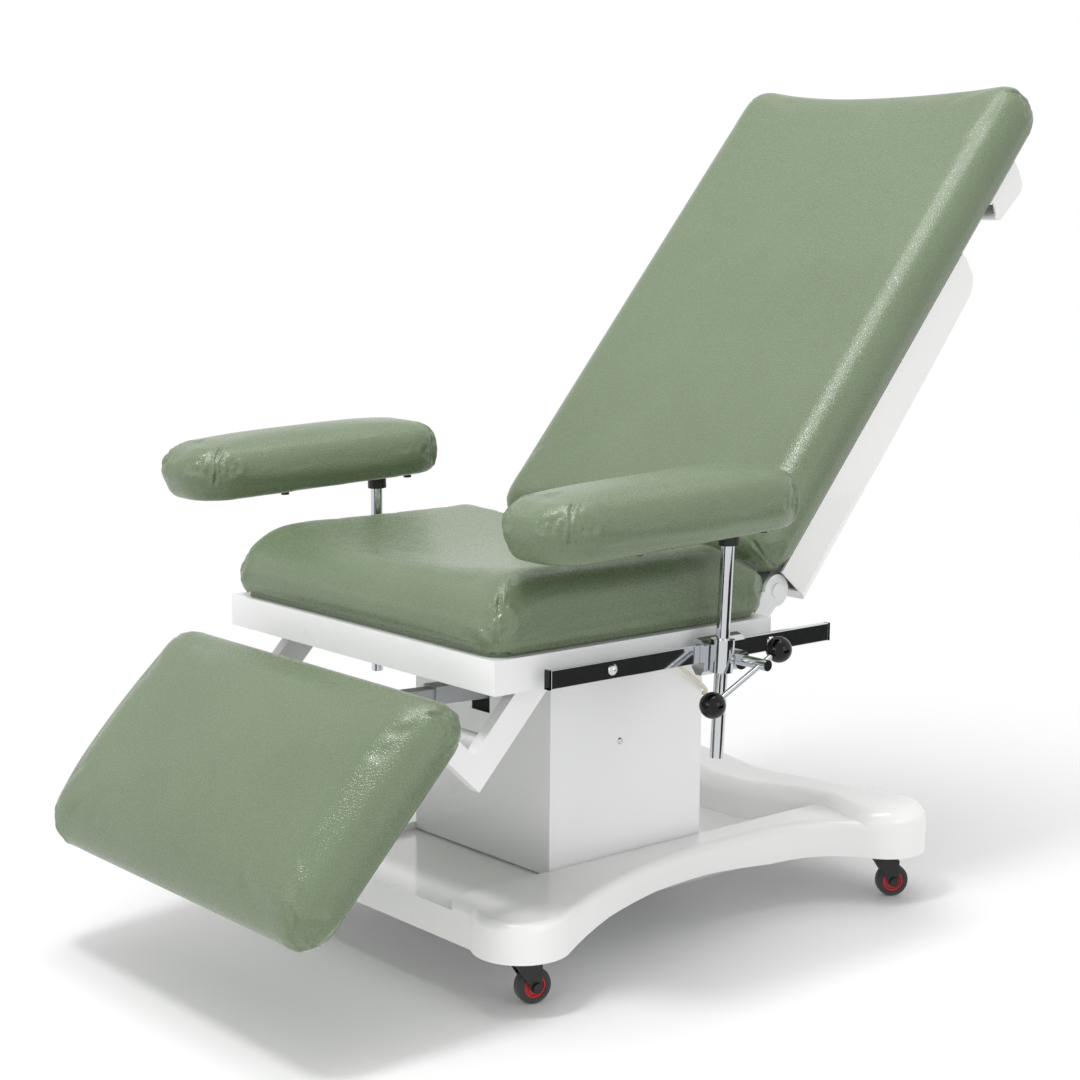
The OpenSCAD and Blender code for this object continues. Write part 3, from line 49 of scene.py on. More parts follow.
camera_data = bpy.data.cameras.new("camera")
camera_data.sensor_width = sensor_mm
camera_data.lens = lens_px / image_px * sensor_mm
camera_data.shift_x = -centre_right_px / image_px
camera_data.shift_y = centre_down_px / image_px
camera = bpy.data.objects.new("camera", camera_data)
bpy.context.scene.collection.objects.link(camera)
backwards = Vector((math.sin(camera_turn) * math.cos(camera_rise),
                    -math.cos(camera_turn) * math.cos(camera_rise), math.sin(camera_rise)))
facing = backwards.to_track_quat("Z", "Y").to_matrix().to_4x4()
camera.matrix_world = (Matrix.Translation(look_at + camera_away * backwards) @ facing
                       @ Matrix.Rotation(camera_roll, 4, "Z"))
bpy.context.scene.camera = camera


# Cable: a thin cream lead with a soft plastic jacket. It leaves the seat frame's plate, hangs in a
# short bow beside the column and ends at the column cover's rear wall.
class Socket:
    """A node socket with arithmetic, so that shader maths reads as an expression."""

    def __init__(self, tree, link):
        self.tree, self.link = tree, link

    def out(self, kind, settings=None, output=0, **inputs):
        """The output of a new node of that kind; inN names an input by its number."""
        made = self.tree.nodes.new(kind)
        for name, value in (settings or {}).items():
            setattr(made, name, value)
        for name, value in inputs.items():
            numbered = name[:2] == "in" and name[2:].isdigit()
            socket = made.inputs[int(name[2:]) if numbered else name.replace("_", " ")]
            if isinstance(value, Socket):
                self.tree.links.new(value.link, socket)
            else:
                socket.default_value = value
        return Socket(self.tree, made.outputs[output])

    def maths(self, operation, first, second):
        return self.out("ShaderNodeMath", {"operation": operation}, in0=first, in1=second)

    def __add__(self, other):
        return self.maths("ADD", self, other)

    __radd__ = __add__

    def __mul__(self, other):
        return self.maths("MULTIPLY", self, other)

    __rmul__ = __mul__

    def rise(self, low, high):
        """0 below low and 1 above high, smooth between."""
        smooth = {"interpolation_type": "SMOOTHSTEP"}
        return self.out("ShaderNodeMapRange", smooth, in0=self, in1=low, in2=high)

    def noise(self, scale, detail=2.0, rough=0.5, twist=0.0):
        return self.out("ShaderNodeTexNoise", Vector=self, Scale=scale, Detail=detail,
                        Roughness=rough, Distortion=twist)

    def cells(self, scale):
        """Distance from the edges of a mesh of cells."""
        edges = {"feature": "DISTANCE_TO_EDGE"}
        return self.out("ShaderNodeTexVoronoi", edges, Vector=self, Scale=scale)

    def stretched(self, scale):
        return self.out("ShaderNodeMapping", Vector=self, Scale=scale)

    def mixed(self, low, high):
        """Colour low where this is 0 and high where it is 1."""
        return self.out("ShaderNodeMix", {"data_type": "RGBA"}, 2, in0=self, in6=low, in7=high)

    def bump(self, strength, distance):
        return self.out("ShaderNodeBump", Height=self, Strength=strength, Distance=distance)


def shown(red, green, blue):
    """A colour, given as it shows on a screen."""
    linear = [c / 12.92 if c <= 0.04045 else ((c + 0.055) / 1.055) ** 2.4 for c in (red, green, blue)]
    return (*linear, 1.0)


def new_finish(name, look):
    """A material that look(put, place) fills in; place is the position on the piece."""
    material = bpy.data.materials.new(name)
    material.use_nodes = True
    tree = material.node_tree
    shader = tree.nodes["Principled BSDF"]
    place = Socket(tree, tree.nodes.new("ShaderNodeTexCoord").outputs["Object"])

    def put(**inputs):
        for name, value in inputs.items():
            socket = shader.inputs[name.replace("_", " ")]
            if isinstance(value, Socket):
                tree.links.new(value.link, socket)
            else:
                socket.default_value = value

    look(put, place)
    return material


def new_piece(name, form, material, body):
    """A finished mesh as a piece of the chair, shaded smooth, that rides on a body."""
    mesh = bpy.data.meshes.new(name)
    form.to_mesh(mesh)
    form.free()
    mesh.shade_smooth()
    mesh.materials.append(material)
    piece = bpy.data.objects.new(name, mesh)
    bpy.context.scene.collection.objects.link(piece)
    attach(piece, body)
    return piece


cream, pale_cream = shown(0.80, 0.78, 0.70), shown(0.87, 0.85, 0.78)
cable_d, cable_length = 0.006, 0.200
cable_exit = Vector((0.176, 0.0, 0.432))
cable_steps_mm = [(0, 0, 0), (0, 3, -11), (-1, 24, -29), (-5, 52, -52), (-11, 80, -70), (-18, 103, -85),
                  (-28, 116, -94), (-42, 122, -100), (-53, 117.5, -104), (-56, 111, -105),
                  (-56, 105.1, -105)]
mm_per_m = 1000


def jacket_look(put, place):
    put(Base_Color=place.noise(80.0, 3.0).mixed(cream, pale_cream),
        Roughness=0.42 + 0.2 * place.noise(200.0), Normal=place.noise(350.0).bump(0.2, 0.0003))


cable_curve = bpy.data.curves.new("power_cable_lead", "CURVE")
cable_curve.dimensions = "3D"
cable_curve.bevel_depth, cable_curve.bevel_resolution, cable_curve.resolution_u = cable_d / 2, 5, 8
cable_curve.use_fill_caps = True
cable_run = cable_curve.splines.new("BEZIER")
cable_run.bezier_points.add(len(cable_steps_mm) - 1)
for point, step in zip(cable_run.bezier_points, cable_steps_mm):
    point.co = cable_exit + Vector(step) / mm_per_m
    point.handle_left_type = point.handle_right_type = "AUTO"
cable_curve.materials.append(new_finish("cream_cable_jacket", jacket_look))
cable = bpy.data.objects.new("power_cable_lead", cable_curve)
bpy.context.scene.collection.objects.link(cable)
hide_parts("power_cable")
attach(cable, "seat")

# Studio: a pale floor, soft light from above and from the front, and two dark boards out of view,
# which give the chrome its dark reflections.
pure_white = (1, 1, 1, 1)
floor_half = 12.0
shadow_whole, shadow_gone = 0.55, 1.75
mirrored_white = 0.7
board_black = shown(0.10, 0.10, 0.10)
sky_strength = 0.64


def seen_rays(tree):
    """Sockets that are 1 for the camera's rays, and for rays off a mirror or through glass."""
    ray = tree.nodes.new("ShaderNodeLightPath")
    camera_ray, glossy_ray, through_ray = (
        Socket(tree, ray.outputs[f"Is {kind} Ray"]) for kind in ("Camera", "Glossy", "Transmission"))
    return camera_ray, glossy_ray + through_ray


def pale_floor():
    """Catches the chair's shadow, and runs out into plain white for the camera and in reflections."""
    material = bpy.data.materials.new("pale_floor")
    material.use_nodes = True
    tree = material.node_tree
    shader = tree.nodes["Principled BSDF"]
    shader.inputs["Base Color"].default_value = shown(0.985, 0.985, 0.985)
    shader.inputs["Roughness"].default_value = 0.6
    shader.inputs["Specular IOR Level"].default_value = 0.2
    place = Socket(tree, tree.nodes.new("ShaderNodeTexCoord").outputs["Object"])
    camera_ray, mirror_ray = seen_rays(tree)
    away = place.out("ShaderNodeVectorMath", {"operation": "LENGTH"}, 1, in0=place)
    plain = away.rise(shadow_whole, shadow_gone)
    white = place.out("ShaderNodeEmission", Color=pure_white, Strength=1.0)
    pale = camera_ray * plain + mirror_ray * (mirrored_white + (1 - mirrored_white) * plain)
    mix = place.out("ShaderNodeMixShader", in0=pale, in1=Socket(tree, shader.outputs[0]), in2=white)
    tree.links.new(mix.link, tree.nodes["Material Output"].inputs[0])
    return material


def stage_piece(name, form, material):
    """A mesh that belongs to the studio and not to the chair."""
    mesh = bpy.data.meshes.new(name)
    form.to_mesh(mesh)
    form.free()
    mesh.materials.append(material)
    piece = bpy.data.objects.new(name, mesh)
    bpy.context.scene.collection.objects.link(piece)
    return piece


floor_form = bmesh.new()
bmesh.ops.create_grid(floor_form, x_segments=1, y_segments=1, size=floor_half)
stage_piece("floor", floor_form, pale_floor())


def dark_board(name, centre, turn, width, height):
    """An upright dark board that only reflections show."""
    form = bmesh.new()
    bmesh.ops.create_grid(form, x_segments=1, y_segments=1, size=0.5)
    bmesh.ops.scale(form, vec=(width, height, 1), verts=form.verts)
    bmesh.ops.rotate(form, matrix=Matrix.Rotation(math.pi / 2, 3, "X"), verts=form.verts)
    bmesh.ops.rotate(form, matrix=Matrix.Rotation(turn, 3, "Z"), verts=form.verts)
    bmesh.ops.translate(form, vec=centre, verts=form.verts)
    material = bpy.data.materials.new(name)
    material.use_nodes = True
    material.node_tree.nodes["Principled BSDF"].inputs["Base Color"].default_value = board_black
    material.node_tree.nodes["Principled BSDF"].inputs["Roughness"].default_value = 0.9
    board = stage_piece(name, form, material)
    board.visible_camera = board.visible_diffuse = board.visible_shadow = False


def soft_lamp(name, place, width, height, watts):
    """A rectangular lamp that points at the middle of the chair."""
    lamp = bpy.data.lights.new(name, "AREA")
    lamp.shape, lamp.size, lamp.size_y, lamp.energy = "RECTANGLE", width, height, watts
    held = bpy.data.objects.new(name, lamp)
    aimed = (Vector(place) - look_at).to_track_quat("Z", "Y").to_matrix().to_4x4()
    held.matrix_world = Matrix.Translation(place) @ aimed
    bpy.context.scene.collection.objects.link(held)


dark_board("dark_board_side", centre=(1.42, 0.85, 0.19), turn=math.pi / 2, width=1.7, height=0.44)
dark_board("dark_board_front", centre=(0.2, -2.3, 0.35), turn=0.0, width=1.2, height=0.5)
soft_lamp("lamp_top", place=(0.2, -0.1, 3.3), width=1.8, height=1.8, watts=36)
soft_lamp("lamp_shoulders", place=(0.3, -1.3, 3.1), width=0.45, height=0.45, watts=30)
soft_lamp("lamp_near_side", place=(3.0, 0.2, 1.2), width=1.4, height=1.4, watts=7)
soft_lamp("lamp_front", place=(0.2, -3.4, 1.0), width=2.2, height=1.4, watts=19)

world = bpy.data.worlds.new("studio")
bpy.context.scene.world = world
world.use_nodes = True
world_tree = world.node_tree
world_tree.nodes["Background"].inputs["Color"].default_value = pure_white
world_tree.nodes["Background"].inputs["Strength"].default_value = sky_strength
sky_light = Socket(world_tree, world_tree.nodes["Background"].outputs[0])
sky_shown = sky_light.out("ShaderNodeBackground", Color=pure_white, Strength=1.0)
camera_ray, mirror_ray = seen_rays(world_tree)
world_mix = sky_light.out("ShaderNodeMixShader", in0=camera_ray + mirror_ray, in1=sky_light,
                          in2=sky_shown)
world_tree.links.new(world_mix.link, world_tree.nodes["World Output"].inputs[0])
bpy.context.scene.view_settings.view_transform = "Standard"

# Base cover: one thick moulding of gel-coated glass fibre, gloss white, with soft fillets everywhere.
# It drops over the chassis and shows the faint waves and scuffs of a laid-up shell.
gel_white, scuffed_white = shown(0.955, 0.955, 0.95), shown(0.88, 0.88, 0.87)
base_edge, base_crisp = 0.0015, 38
joined_within, flat_within = 1e-6, math.radians(0.5)


def moulding_look(put, place):
    scuff = place.noise(60.0, 4.0, 0.6).rise(0.62, 0.75) * place.noise(7.0).rise(0.5, 0.7)
    put(Base_Color=scuff.mixed(gel_white, scuffed_white),
        Roughness=0.14 + 0.10 * place.noise(18.0, 3.0) + 0.15 * scuff,
        Coat_Weight=0.4, Coat_Roughness=0.06, Normal=place.noise(9.0).bump(0.3, 0.0008))


def merged_copy(node):
    """A CAD piece's mesh with its corners joined and its flat faces whole."""
    form = bmesh.new()
    form.from_mesh(nodes[node].data)
    bmesh.ops.remove_doubles(form, verts=form.verts, dist=joined_within)
    bmesh.ops.dissolve_limit(form, angle_limit=flat_within, verts=form.verts, edges=form.edges)
    return form


def softened(node, name, material, body, width, segments=3, crisp=30):
    """A copy of a CAD piece with its edges rounded off as the real piece's are."""
    form = merged_copy(node)
    sharp = [edge for edge in form.edges
             if len(edge.link_faces) == 2 and edge.calc_face_angle(0) > math.radians(crisp)]
    bmesh.ops.bevel(form, geom=sharp, offset=width, segments=segments, profile=0.5, affect="EDGES",
                    material=-1, clamp_overlap=True)
    piece = new_piece(name, form, material, body)
    weighted = piece.modifiers.new("flat_faces", "WEIGHTED_NORMAL")
    weighted.weight = 100
    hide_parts(node)


moulding = new_finish("gloss_white_moulding", moulding_look)
softened("base_cover", "base_moulding", moulding, "base", base_edge, 2, base_crisp)

# Chassis, guide tubes, back frame and leg actuator: plain steel under satin grey paint, with the
# slight cloudiness of a brushed-on coat.
paint_grey, paint_pale_grey = shown(0.66, 0.67, 0.68), shown(0.75, 0.76, 0.77)


def grey_paint_look(put, place):
    cloud = place.noise(30.0, 3.0)
    put(Base_Color=cloud.mixed(paint_grey, paint_pale_grey), Roughness=0.30 + 0.2 * cloud,
        Metallic=0.3, Normal=place.noise(400.0).bump(0.3, 0.0002))


def repainted(material, *names):
    """Gives CAD pieces that keep their own shape this finish."""
    for name in names:
        nodes[name].data.materials.clear()
        nodes[name].data.materials.append(material)
        for face in nodes[name].data.polygons:
            face.material_index = 0


repainted(new_finish("satin_grey_paint", grey_paint_look),
          "base_chassis", "guide_tubes", "back_frame", "leg_actuator_rod", "leg_actuator_tube")

# Casters: black stamped forks on swivel plates, red nylon rims with a grey nylon hub disc on both
# faces, a steel axle nut and a pressed-on dark grey rubber tread.
caster_corners = ("fl", "fr", "rl", "rr")
coat_black, coat_dark_grey = shown(0.07, 0.07, 0.075), shown(0.12, 0.12, 0.125)
rim_red, rim_pale_red = shown(0.74, 0.11, 0.13), shown(0.84, 0.17, 0.18)
tread_black, tread_dusty = shown(0.12, 0.12, 0.125), shown(0.24, 0.24, 0.245)
hub_grey, hub_pale_grey = shown(0.42, 0.42, 0.43), shown(0.52, 0.52, 0.53)
hub_profile = [(0.0, 0.0072), (0.0052, 0.0072), (0.0058, 0.0066), (0.0074, 0.0062), (0.0095, 0.0066),
               (0.0102, 0.0058), (0.0102, 0.0035)]


def black_coat_look(put, place):
    cloud = place.noise(60.0, 4.0)
    put(Base_Color=cloud.mixed(coat_black, coat_dark_grey), Roughness=0.36 + 0.2 * cloud,
        Normal=place.noise(600.0).bump(0.4, 0.0002))


def red_rim_look(put, place):
    cloud = place.noise(90.0, 3.0)
    put(Base_Color=cloud.mixed(rim_red, rim_pale_red), Roughness=0.28 + 0.15 * cloud,
        Normal=place.noise(300.0).bump(0.2, 0.0002))


def tread_look(put, place):
    dust = place.noise(140.0, 5.0, 0.65)
    put(Base_Color=dust.mixed(tread_black, tread_dusty), Roughness=0.45 + 0.3 * dust,
        Normal=dust.bump(0.5, 0.0003))


def nylon_look(put, place):
    cloud = place.noise(120.0, 3.0)
    put(Base_Color=cloud.mixed(hub_grey, hub_pale_grey), Roughness=0.35 + 0.15 * cloud)


def turned(profile, steps=40):
    """A solid of revolution about Z from (radius, height) pairs."""
    form = bmesh.new()
    points = [form.verts.new((radius, 0, height)) for radius, height in profile]
    edges = [form.edges.new(pair) for pair in zip(points, points[1:])]
    bmesh.ops.spin(form, geom=points + edges, cent=(0, 0, 0), axis=(0, 0, 1), steps=steps,
                   angle=2 * math.pi, use_merge=True)
    bmesh.ops.remove_doubles(form, verts=form.verts, dist=joined_within)
    bmesh.ops.recalc_face_normals(form, faces=form.faces)
    return form


def axis_of(node):
    """Middle of a wheel and the direction of its axle."""
    at = np.array([vert.co for vert in nodes[node].data.vertices])
    middle = (at.min(0) + at.max(0)) / 2
    return Vector(middle), Vector(np.linalg.svd(at - at.mean(0), full_matrices=False)[2][2])


black_coat = new_finish("satin_black_coat", black_coat_look)
nylon = new_finish("grey_nylon_hub", nylon_look)
repainted(black_coat, "caster_plates", *["caster_fork_" + corner for corner in caster_corners])
repainted(new_finish("red_nylon_rim", red_rim_look),
          *["caster_rim_" + corner for corner in caster_corners])
repainted(new_finish("grey_rubber_tread", tread_look),
          *["caster_tyre_" + corner for corner in caster_corners])
for corner in caster_corners:
    middle, axle = axis_of("caster_rim_" + corner)
    for face, way in (("outer", 1), ("inner", -1)):
        hub = turned(hub_profile)
        on_axle = Matrix.Translation(middle) @ (way * axle).to_track_quat("Z", "Y").to_matrix().to_4x4()
        bmesh.ops.transform(hub, matrix=on_axle, verts=hub.verts)
        new_piece("caster_hub_" + face + "_" + corner, hub, nylon, "wheel_" + corner)

# Column covers, seat frame, leg frame, rail spacers and pivot pins: folded steel sheet with small
# bend radii, powder-coated white, with the fine orange peel of the coating.
powder_white, powder_pale = shown(0.94, 0.94, 0.945), shown(0.965, 0.965, 0.965)
column_bend, frame_bend = 0.0016, 0.0012


def powder_look(put, place):
    cloud = place.noise(5.0, 3.0)
    put(Base_Color=cloud.mixed(powder_white, powder_pale), Roughness=0.24 + 0.10 * cloud,
        Coat_Weight=0.25, Coat_Roughness=0.12, Normal=place.noise(520.0).bump(0.25, 0.0002))


powder_coat = new_finish("white_powder_coat", powder_look)
repainted(powder_coat, "column_shroud", "rail_spacers", "pivot_pins")
softened("column_cover", "column_cover_folded", powder_coat, "seat", column_bend)
softened("seat_frame", "seat_frame_folded", powder_coat, "seat", frame_bend, 2)
softened("leg_frame", "leg_frame_welded", powder_coat, "leg", frame_bend, 2)

# Rails, posts, clamps, screws and rods: steel polished and chromed, with hairline scratches
# along the metal and small pits where the clamp's screw has bitten.
chrome_bright, chrome_pitted = shown(0.80, 0.81, 0.82), shown(0.45, 0.44, 0.43)
rail_edge, clamp_edge = 0.0012, 0.0014
scratch_scale = (900.0, 900.0, 60.0)
sides = ("left", "right")


def chrome_look(put, place):
    hair = place.stretched(scratch_scale).noise(1.0)
    pits = place.noise(260.0).rise(0.70, 0.78) * place.noise(24.0).rise(0.52, 0.66)
    put(Base_Color=pits.mixed(chrome_bright, chrome_pitted), Metallic=1.0,
        Roughness=0.045 + 0.05 * place.noise(40.0, 3.0) + 0.3 * pits, Normal=hair.bump(0.12, 0.0001))


chrome = new_finish("mirror_chrome", chrome_look)
repainted(chrome, "cover_screws", "guide_sliders", "lift_rod", "back_actuator_rod",
          *[piece + side for piece in ("clamp_screw_", "tommy_bar_", "arm_post_") for side in sides])
for side in sides:
    softened("rail_" + side, "rail_" + side + "_bar", chrome, "seat", rail_edge)
for side in sides:
    softened("arm_clamp_" + side, "arm_clamp_" + side + "_cast", chrome, "clamp_" + side,
             clamp_edge)

# Ball knobs, rail end caps and actuator housings: black thermoset and nylon, glossy, with
# handling marks. The plates under the arm pads have the casters' satin black coat.
plastic_black, plastic_worn = shown(0.02, 0.02, 0.022), shown(0.045, 0.045, 0.047)


def black_plastic_look(put, place):
    wear = place.noise(35.0, 4.0)
    put(Base_Color=wear.mixed(plastic_black, plastic_worn), Roughness=0.06 + 0.06 * wear,
        Specular_IOR_Level=0.3, Normal=place.noise(120.0).bump(0.05, 0.0001))


repainted(new_finish("glossy_black_plastic", black_plastic_look),
          "arm_knobs_left", "arm_knobs_right", "rail_end_caps", "back_actuator_tube", "lift_actuator")
repainted(black_coat, "arm_plate_left", "arm_plate_right")

# Back tray and push handle: the same white glass fibre as the base, with softly rounded rims that
# hands and cleaning cloths slide over.
tray_rim, handle_rim = 0.004, 0.0015
softened("back_shell", "back_tray_moulded", moulding, "back", tray_rim, 4)
softened("push_handle", "push_handle_moulded", moulding, "back", handle_rim)

# Cushions: foam on a board under sage-green coated cloth with a pressed leather grain, sewn up
# each corner, pulled tight over the edges and stapled beneath.
sage_dark, sage_light = shown(0.365, 0.425, 0.322), shown(0.468, 0.530, 0.415)
foam_pressure, swell_frames = 4.0, 20
inward_kept, sideways_kept = 0.3, 0.25
pinned_below, undrawn_below, flat_below, lifted_from = 0.010, 0.012, 0.014, 0.7
roll_share, roll_tightness = 0.45, 3
gathered_out_to = 1.9
seam_depth, seam_width, seam_fade, seam_steps = 0.0034, 0.0024, 0.12, 12
fold_depth, fold_loss, fold_width, fold_fade, fold_steps = 0.0032, 0.0006, 0.0046, 0.35, 10
folds = ((11, 0.12, 0.93), (24, 0.20, 0.80), (38, 0.30, 0.66))  # degrees off the seam, share of the height


def vinyl_look(put, place):
    grain = place.noise(230.0, 3.0, 0.55, 1.0)
    creases = place.cells(300.0).rise(0.0, 0.22)
    cloud = place.noise(6.0, 4.0, 0.6)
    slack = place.noise(20.0, 2.0, 0.5, 0.6)
    # The cloud is random tone in the cloth. The grain's crease lines are also darkened: this is painted
    # shade in the grooves that the bump presses in.
    put(Base_Color=(0.5 * cloud + 0.5 * creases * grain).mixed(sage_dark, sage_light),
        Roughness=0.20 + 0.10 * grain + 0.05 * place.noise(700.0), Specular_IOR_Level=0.6,
        Normal=(0.5 * creases + 0.5 * grain + 1.4 * slack).bump(0.5, 0.0006))


def evenly_meshed(form, voxel, rounds=6):
    """The same shape in small even faces, with its corners smoothed round."""
    rough = bpy.data.meshes.new("rough")
    form.to_mesh(rough)
    form.free()
    held = bpy.data.objects.new("rough", rough)
    bpy.context.scene.collection.objects.link(held)
    remesh = held.modifiers.new("remesh", "REMESH")
    remesh.mode, remesh.voxel_size = "VOXEL", voxel
    smooth = held.modifiers.new("smooth", "SMOOTH")
    smooth.iterations, smooth.factor = rounds, 0.5
    even = bmesh.new()
    even.from_object(held, bpy.context.evaluated_depsgraph_get())
    bpy.data.objects.remove(held)
    bpy.data.meshes.remove(rough)
    return even


def swollen(even, most):
    """Blows an even mesh up under its cover like foam, and lets no point move further than most."""
    mesh = bpy.data.meshes.new("blown")
    even.to_mesh(mesh)
    held = bpy.data.objects.new("blown", mesh)
    bpy.context.scene.collection.objects.link(held)
    pinned = held.vertex_groups.new(name="held")
    pinned.add([vert.index for vert in mesh.vertices if vert.co.z < pinned_below], 1.0, "REPLACE")
    cloth = held.modifiers.new("swell", "CLOTH")
    settings = cloth.settings
    settings.quality, settings.mass = 4, 0.3
    settings.tension_stiffness = settings.compression_stiffness = 15
    settings.shear_stiffness, settings.bending_stiffness = 5, 0.5
    settings.use_pressure, settings.uniform_pressure_force = True, foam_pressure
    settings.vertex_group_mass = "held"
    settings.effector_weights.gravity = 0
    cloth.collision_settings.use_collision = False
    cloth.point_cache.frame_start, cloth.point_cache.frame_end = 1, swell_frames
    for step in range(1, swell_frames + 1):
        bpy.context.scene.frame_set(step)
    blown = held.evaluated_get(bpy.context.evaluated_depsgraph_get())
    before, after = (np.empty(3 * len(mesh.vertices), np.float32) for _ in range(2))
    mesh.vertices.foreach_get("co", before)
    blown.data.vertices.foreach_get("co", after)
    moved = (after - before).reshape(-1, 3)
    far = np.linalg.norm(moved, axis=1, keepdims=True) + 1e-9
    moved *= most * np.tanh(far / most) / far
    even.normal_update()
    for vert, move in zip(even.verts, moved):
        move = Vector(move)
        outwards = move.dot(vert.normal)
        sideways = move - outwards * vert.normal
        vert.co += sideways_kept * sideways + max(outwards, inward_kept * outwards) * vert.normal
    bpy.context.scene.frame_set(1)
    bpy.data.objects.remove(held)
    bpy.data.meshes.remove(mesh)


def pressed(form, path, depth, width, ends):
    """Presses a channel along a path laid on the cover, with a low roll beside it, fading at its ends."""
    form.normal_update()
    form.verts.ensure_lookup_table()
    at = np.array([vert.co for vert in form.verts])
    path = np.array([at[np.linalg.norm(at - point, axis=1).argmin()] for point in np.array(path, float)])
    path = path[np.concatenate(([True], np.linalg.norm(np.diff(path, axis=0), axis=1) > 1e-4))]
    near = np.flatnonzero(((at > path.min(0) - 4 * width) & (at < path.max(0) + 4 * width)).all(1))
    start, step = path[:-1], np.diff(path, axis=0)
    along = np.clip(((at[near, None] - start) * step).sum(2) / (step ** 2).sum(1), 0, 1)
    away = np.linalg.norm(at[near, None] - start - along[..., None] * step, axis=2)
    part = away.argmin(1)
    reached = (part + along[np.arange(len(near)), part]) / len(step)
    fade = np.clip(np.minimum(reached, 1 - reached) / ends, 0, 1)
    away = away.min(1) / width
    roll = roll_share * np.exp(-(away / 2 - 1) ** 2 * roll_tightness)
    for index, sink in zip(near, depth * fade * (np.exp(-away ** 2) - roll)):
        vert = form.verts[index]
        vert.co -= vert.normal * sink


def sewn(form, width, length, height, round_in):
    """Sews each corner up and gathers the cover into soft folds beside the seam."""
    def place_on(side_x, side_y, turn, up):
        over = max(0.0, up - 0.55) / 0.45
        radius = round_in * (1.15 - 0.75 * over ** 2)
        return (side_x * (width / 2 - round_in + radius * math.cos(turn)),
                side_y * (length / 2 - round_in + radius * math.sin(turn)), height * min(up, 1.0))

    cushion_corners = [(side_x, side_y) for side_x in (-1, 1) for side_y in (-1, 1)]
    near = {vert for vert in form.verts if any(
        (vert.co.x - side_x * width / 2) ** 2 + (vert.co.y - side_y * length / 2) ** 2
        < (gathered_out_to * round_in) ** 2 for side_x, side_y in cushion_corners)}
    bmesh.ops.subdivide_edges(form, edges=[edge for edge in form.edges if near.issuperset(edge.verts)],
                              cuts=1, use_grid_fill=True)
    for side_x, side_y in cushion_corners:
        seam = [place_on(side_x, side_y, math.radians(45), up / seam_steps)
                for up in range(1, seam_steps + 1)]
        pressed(form, seam, seam_depth, seam_width, seam_fade)
        for side in (-1, 1):
            for number, (off, low, high) in enumerate(folds):
                fold = []
                for step in range(fold_steps + 1):
                    bow = 0.45 + 0.55 * math.sin(math.pi * step / fold_steps)
                    fold.append(place_on(side_x, side_y, math.radians(45 + side * off * bow),
                                         low + (high - low) * step / fold_steps))
                pressed(form, fold, fold_depth - fold_loss * number, fold_width, fold_fade)


def upholster(node, body, place, size, voxel, drawn, most, lift, reach):
    """Covers a CAD cushion: swelled foam in the cushion's own flat frame, then lift, seams and folds."""
    form = merged_copy(node)
    bmesh.ops.triangulate(form, faces=form.faces)
    bmesh.ops.transform(form, matrix=place.inverted(), verts=form.verts)
    bmesh.ops.recalc_face_normals(form, faces=form.faces)
    form.normal_update()
    for vert in form.verts:
        if vert.co.z > undrawn_below:
            vert.co -= vert.normal * drawn
    even = evenly_meshed(form, voxel)
    swollen(even, most)
    low, high = (np.array(pick([vert.co for vert in even.verts], axis=0)) for pick in (np.min, np.max))
    for vert in even.verts:
        u = 2 * (vert.co.x - low[0]) / (high[0] - low[0]) - 1
        v = 2 * (vert.co.y - low[1]) / (high[1] - low[1]) - 1
        share = (vert.co.z - flat_below) / (lifted_from * high[2] - flat_below)
        vert.co.z += lift(u, v) * min(1.0, max(0.0, share))
        vert.co.y += reach(u, v)
    sewn(even, *size)
    bmesh.ops.transform(even, matrix=place, verts=even.verts)
    bmesh.ops.recalc_face_normals(even, faces=even.faces)
    cover = new_piece(node + "_cover", even, vinyl, body)
    rounder = cover.modifiers.new("rounder", "SUBSURF")
    rounder.levels = rounder.render_levels = 1
    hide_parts(node)


def place_of(x, y, z, *turns):
    """A frame at a point in millimetres, turned about its own axes by degrees."""
    made = Matrix.Translation(Vector((x, y, z)) / mm_per_m)
    for angle, axis in turns:
        made = made @ Matrix.Rotation(math.radians(angle), 4, axis)
    return made


def past(value, start):
    """0 up to start, then rising as a square to 1 at the end."""
    return max(0.0, (value - start) / (1 - start)) ** 2


vinyl = new_finish("sage_vinyl", vinyl_look)
repainted(vinyl, "back_board", "leg_board", "seat_board")


# Seat cushion: its sides stand up round the dished middle, and its front rolls over like a waterfall.
# A cover's lift and reach move it up and along at u across and v along, each from -1 to 1.
seat_size = (0.596, 0.482, 0.088, 0.030)  # width, length, height and how far in its corners are rounded
seat_place = place_of(0, -155, 476.5)


def seat_lift(u, v):
    bolster, waterfall, edge = 0.009, 0.028, 0.014
    return (bolster * abs(u) ** 4 * (1 - past(-v, 0.4)) - waterfall * past(-v, 0.62)
            - edge * past(abs(u), 0.86))


def level(u, v):
    return 0.0


upholster("seat_cushion", "seat", seat_place, seat_size, 0.0055, -0.0025, 0.006, seat_lift, level)

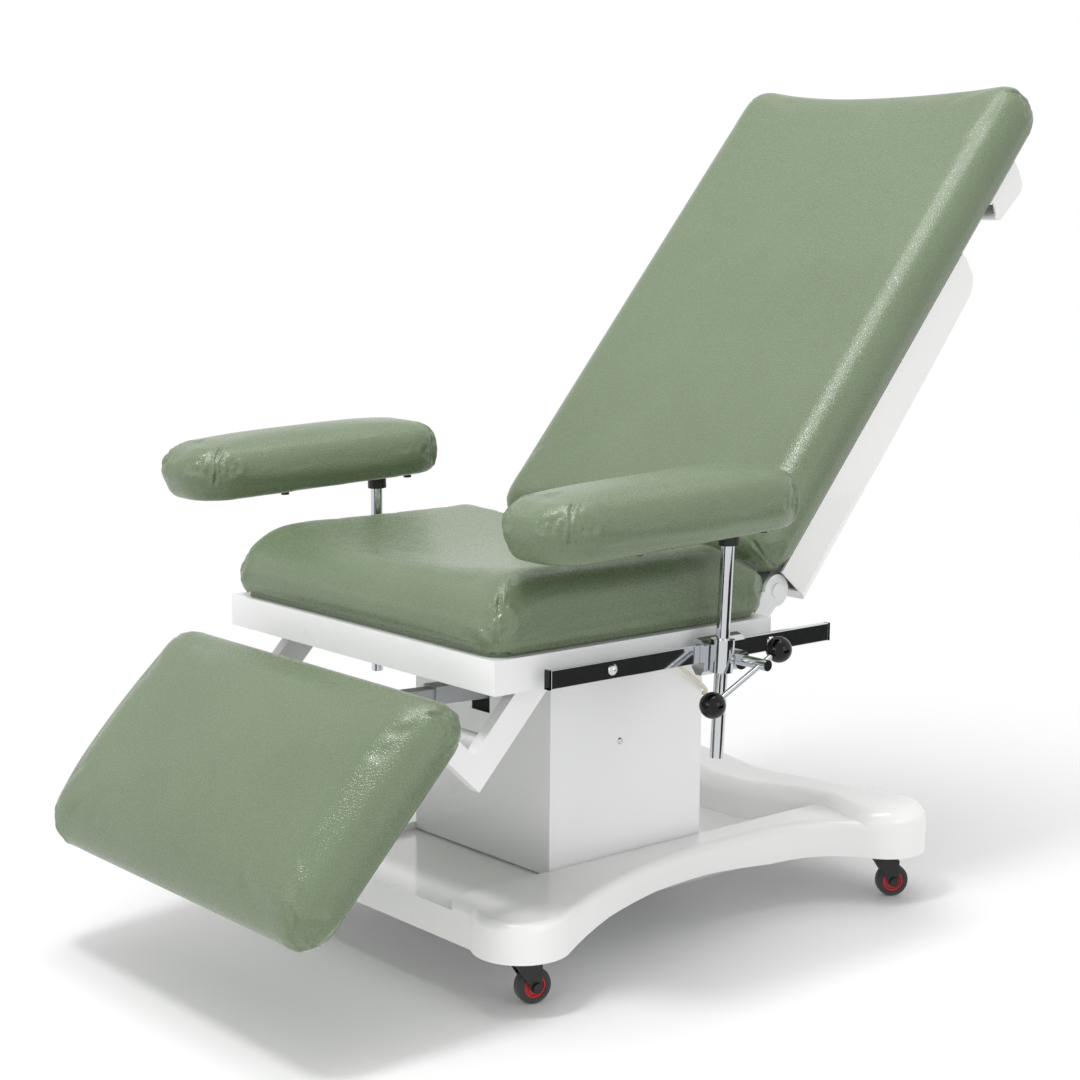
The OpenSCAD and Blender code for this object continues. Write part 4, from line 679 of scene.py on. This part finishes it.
# Back cushion: long and thin, with a raised roll along both sides. Its top edge dips between two
# horns, the far one slightly fuller.
back_size = (0.569, 0.863, 0.069, 0.040)
back_length_mm, back_foot_mm = 863, 5
back_place = (place_of(0, 135, 500, (-40, "X"))
              @ place_of(0, -19, back_foot_mm + back_length_mm / 2, (90, "X")))


def back_lift(u, v):
    roll = 0.019 if u < 0 else 0.011
    edge, end = 0.014, 0.006
    return roll * abs(u) ** 3 - edge * past(abs(u), 0.86) - end * past(abs(v), 0.93)


def back_reach(u, v):
    horn = 0.018 if u < 0 else 0.003
    return horn * past(v, 0.80) * abs(u) ** 2 * (1 - past(abs(u), 0.92))


upholster("back_cushion", "back", back_place, back_size, 0.006, -0.003, 0.005, back_lift, back_reach)

# Leg cushion: a flat pad across the calves, full in the middle. It falls off towards its foot end
# and over its near side.
leg_size = (0.614, 0.326, 0.061, 0.034)
leg_start_mm, leg_half_mm, leg_face_mm = 142, 163, 75
leg_place = (place_of(0, -282, 446, (46.7, "X")) @ Matrix.Scale(-1, 4, (0, 1, 0))
             @ place_of(0, leg_start_mm + leg_half_mm, leg_face_mm))


def leg_lift(u, v):
    crown, fall, end, edge = 0.017, 0.010, 0.012, 0.020
    return crown - fall * v * v - end * past(v, 0.35) - edge * past(u, 0.80)


def leg_reach(u, v):
    return math.copysign(0.006 * past(abs(v), 0.75), v)


upholster("leg_cushion", "leg", leg_place, leg_size, 0.0055, -0.005, 0.006, leg_lift, leg_reach)

# Arm pads: thick rolls on the plates at the post heads, their ends stuffed out past the core, the
# front one most. The far pad stands a little further forward and higher.
pad_size = (0.141, 0.408, 0.074, 0.050)
pad_places_mm = {"left": (340, -170, 612), "right": (-340, -238, 624)}


def pad_lift(u, v):
    return 0.006


def pad_reach(u, v):
    rear, front = 0.008, 0.018
    return rear * past(v, 0.70) - front * past(-v, 0.60)


for side in sides:
    upholster("arm_pad_" + side, "pad_" + side, place_of(*pad_places_mm[side]), pad_size,
              0.0045, -0.0035, 0.004, pad_lift, pad_reach)
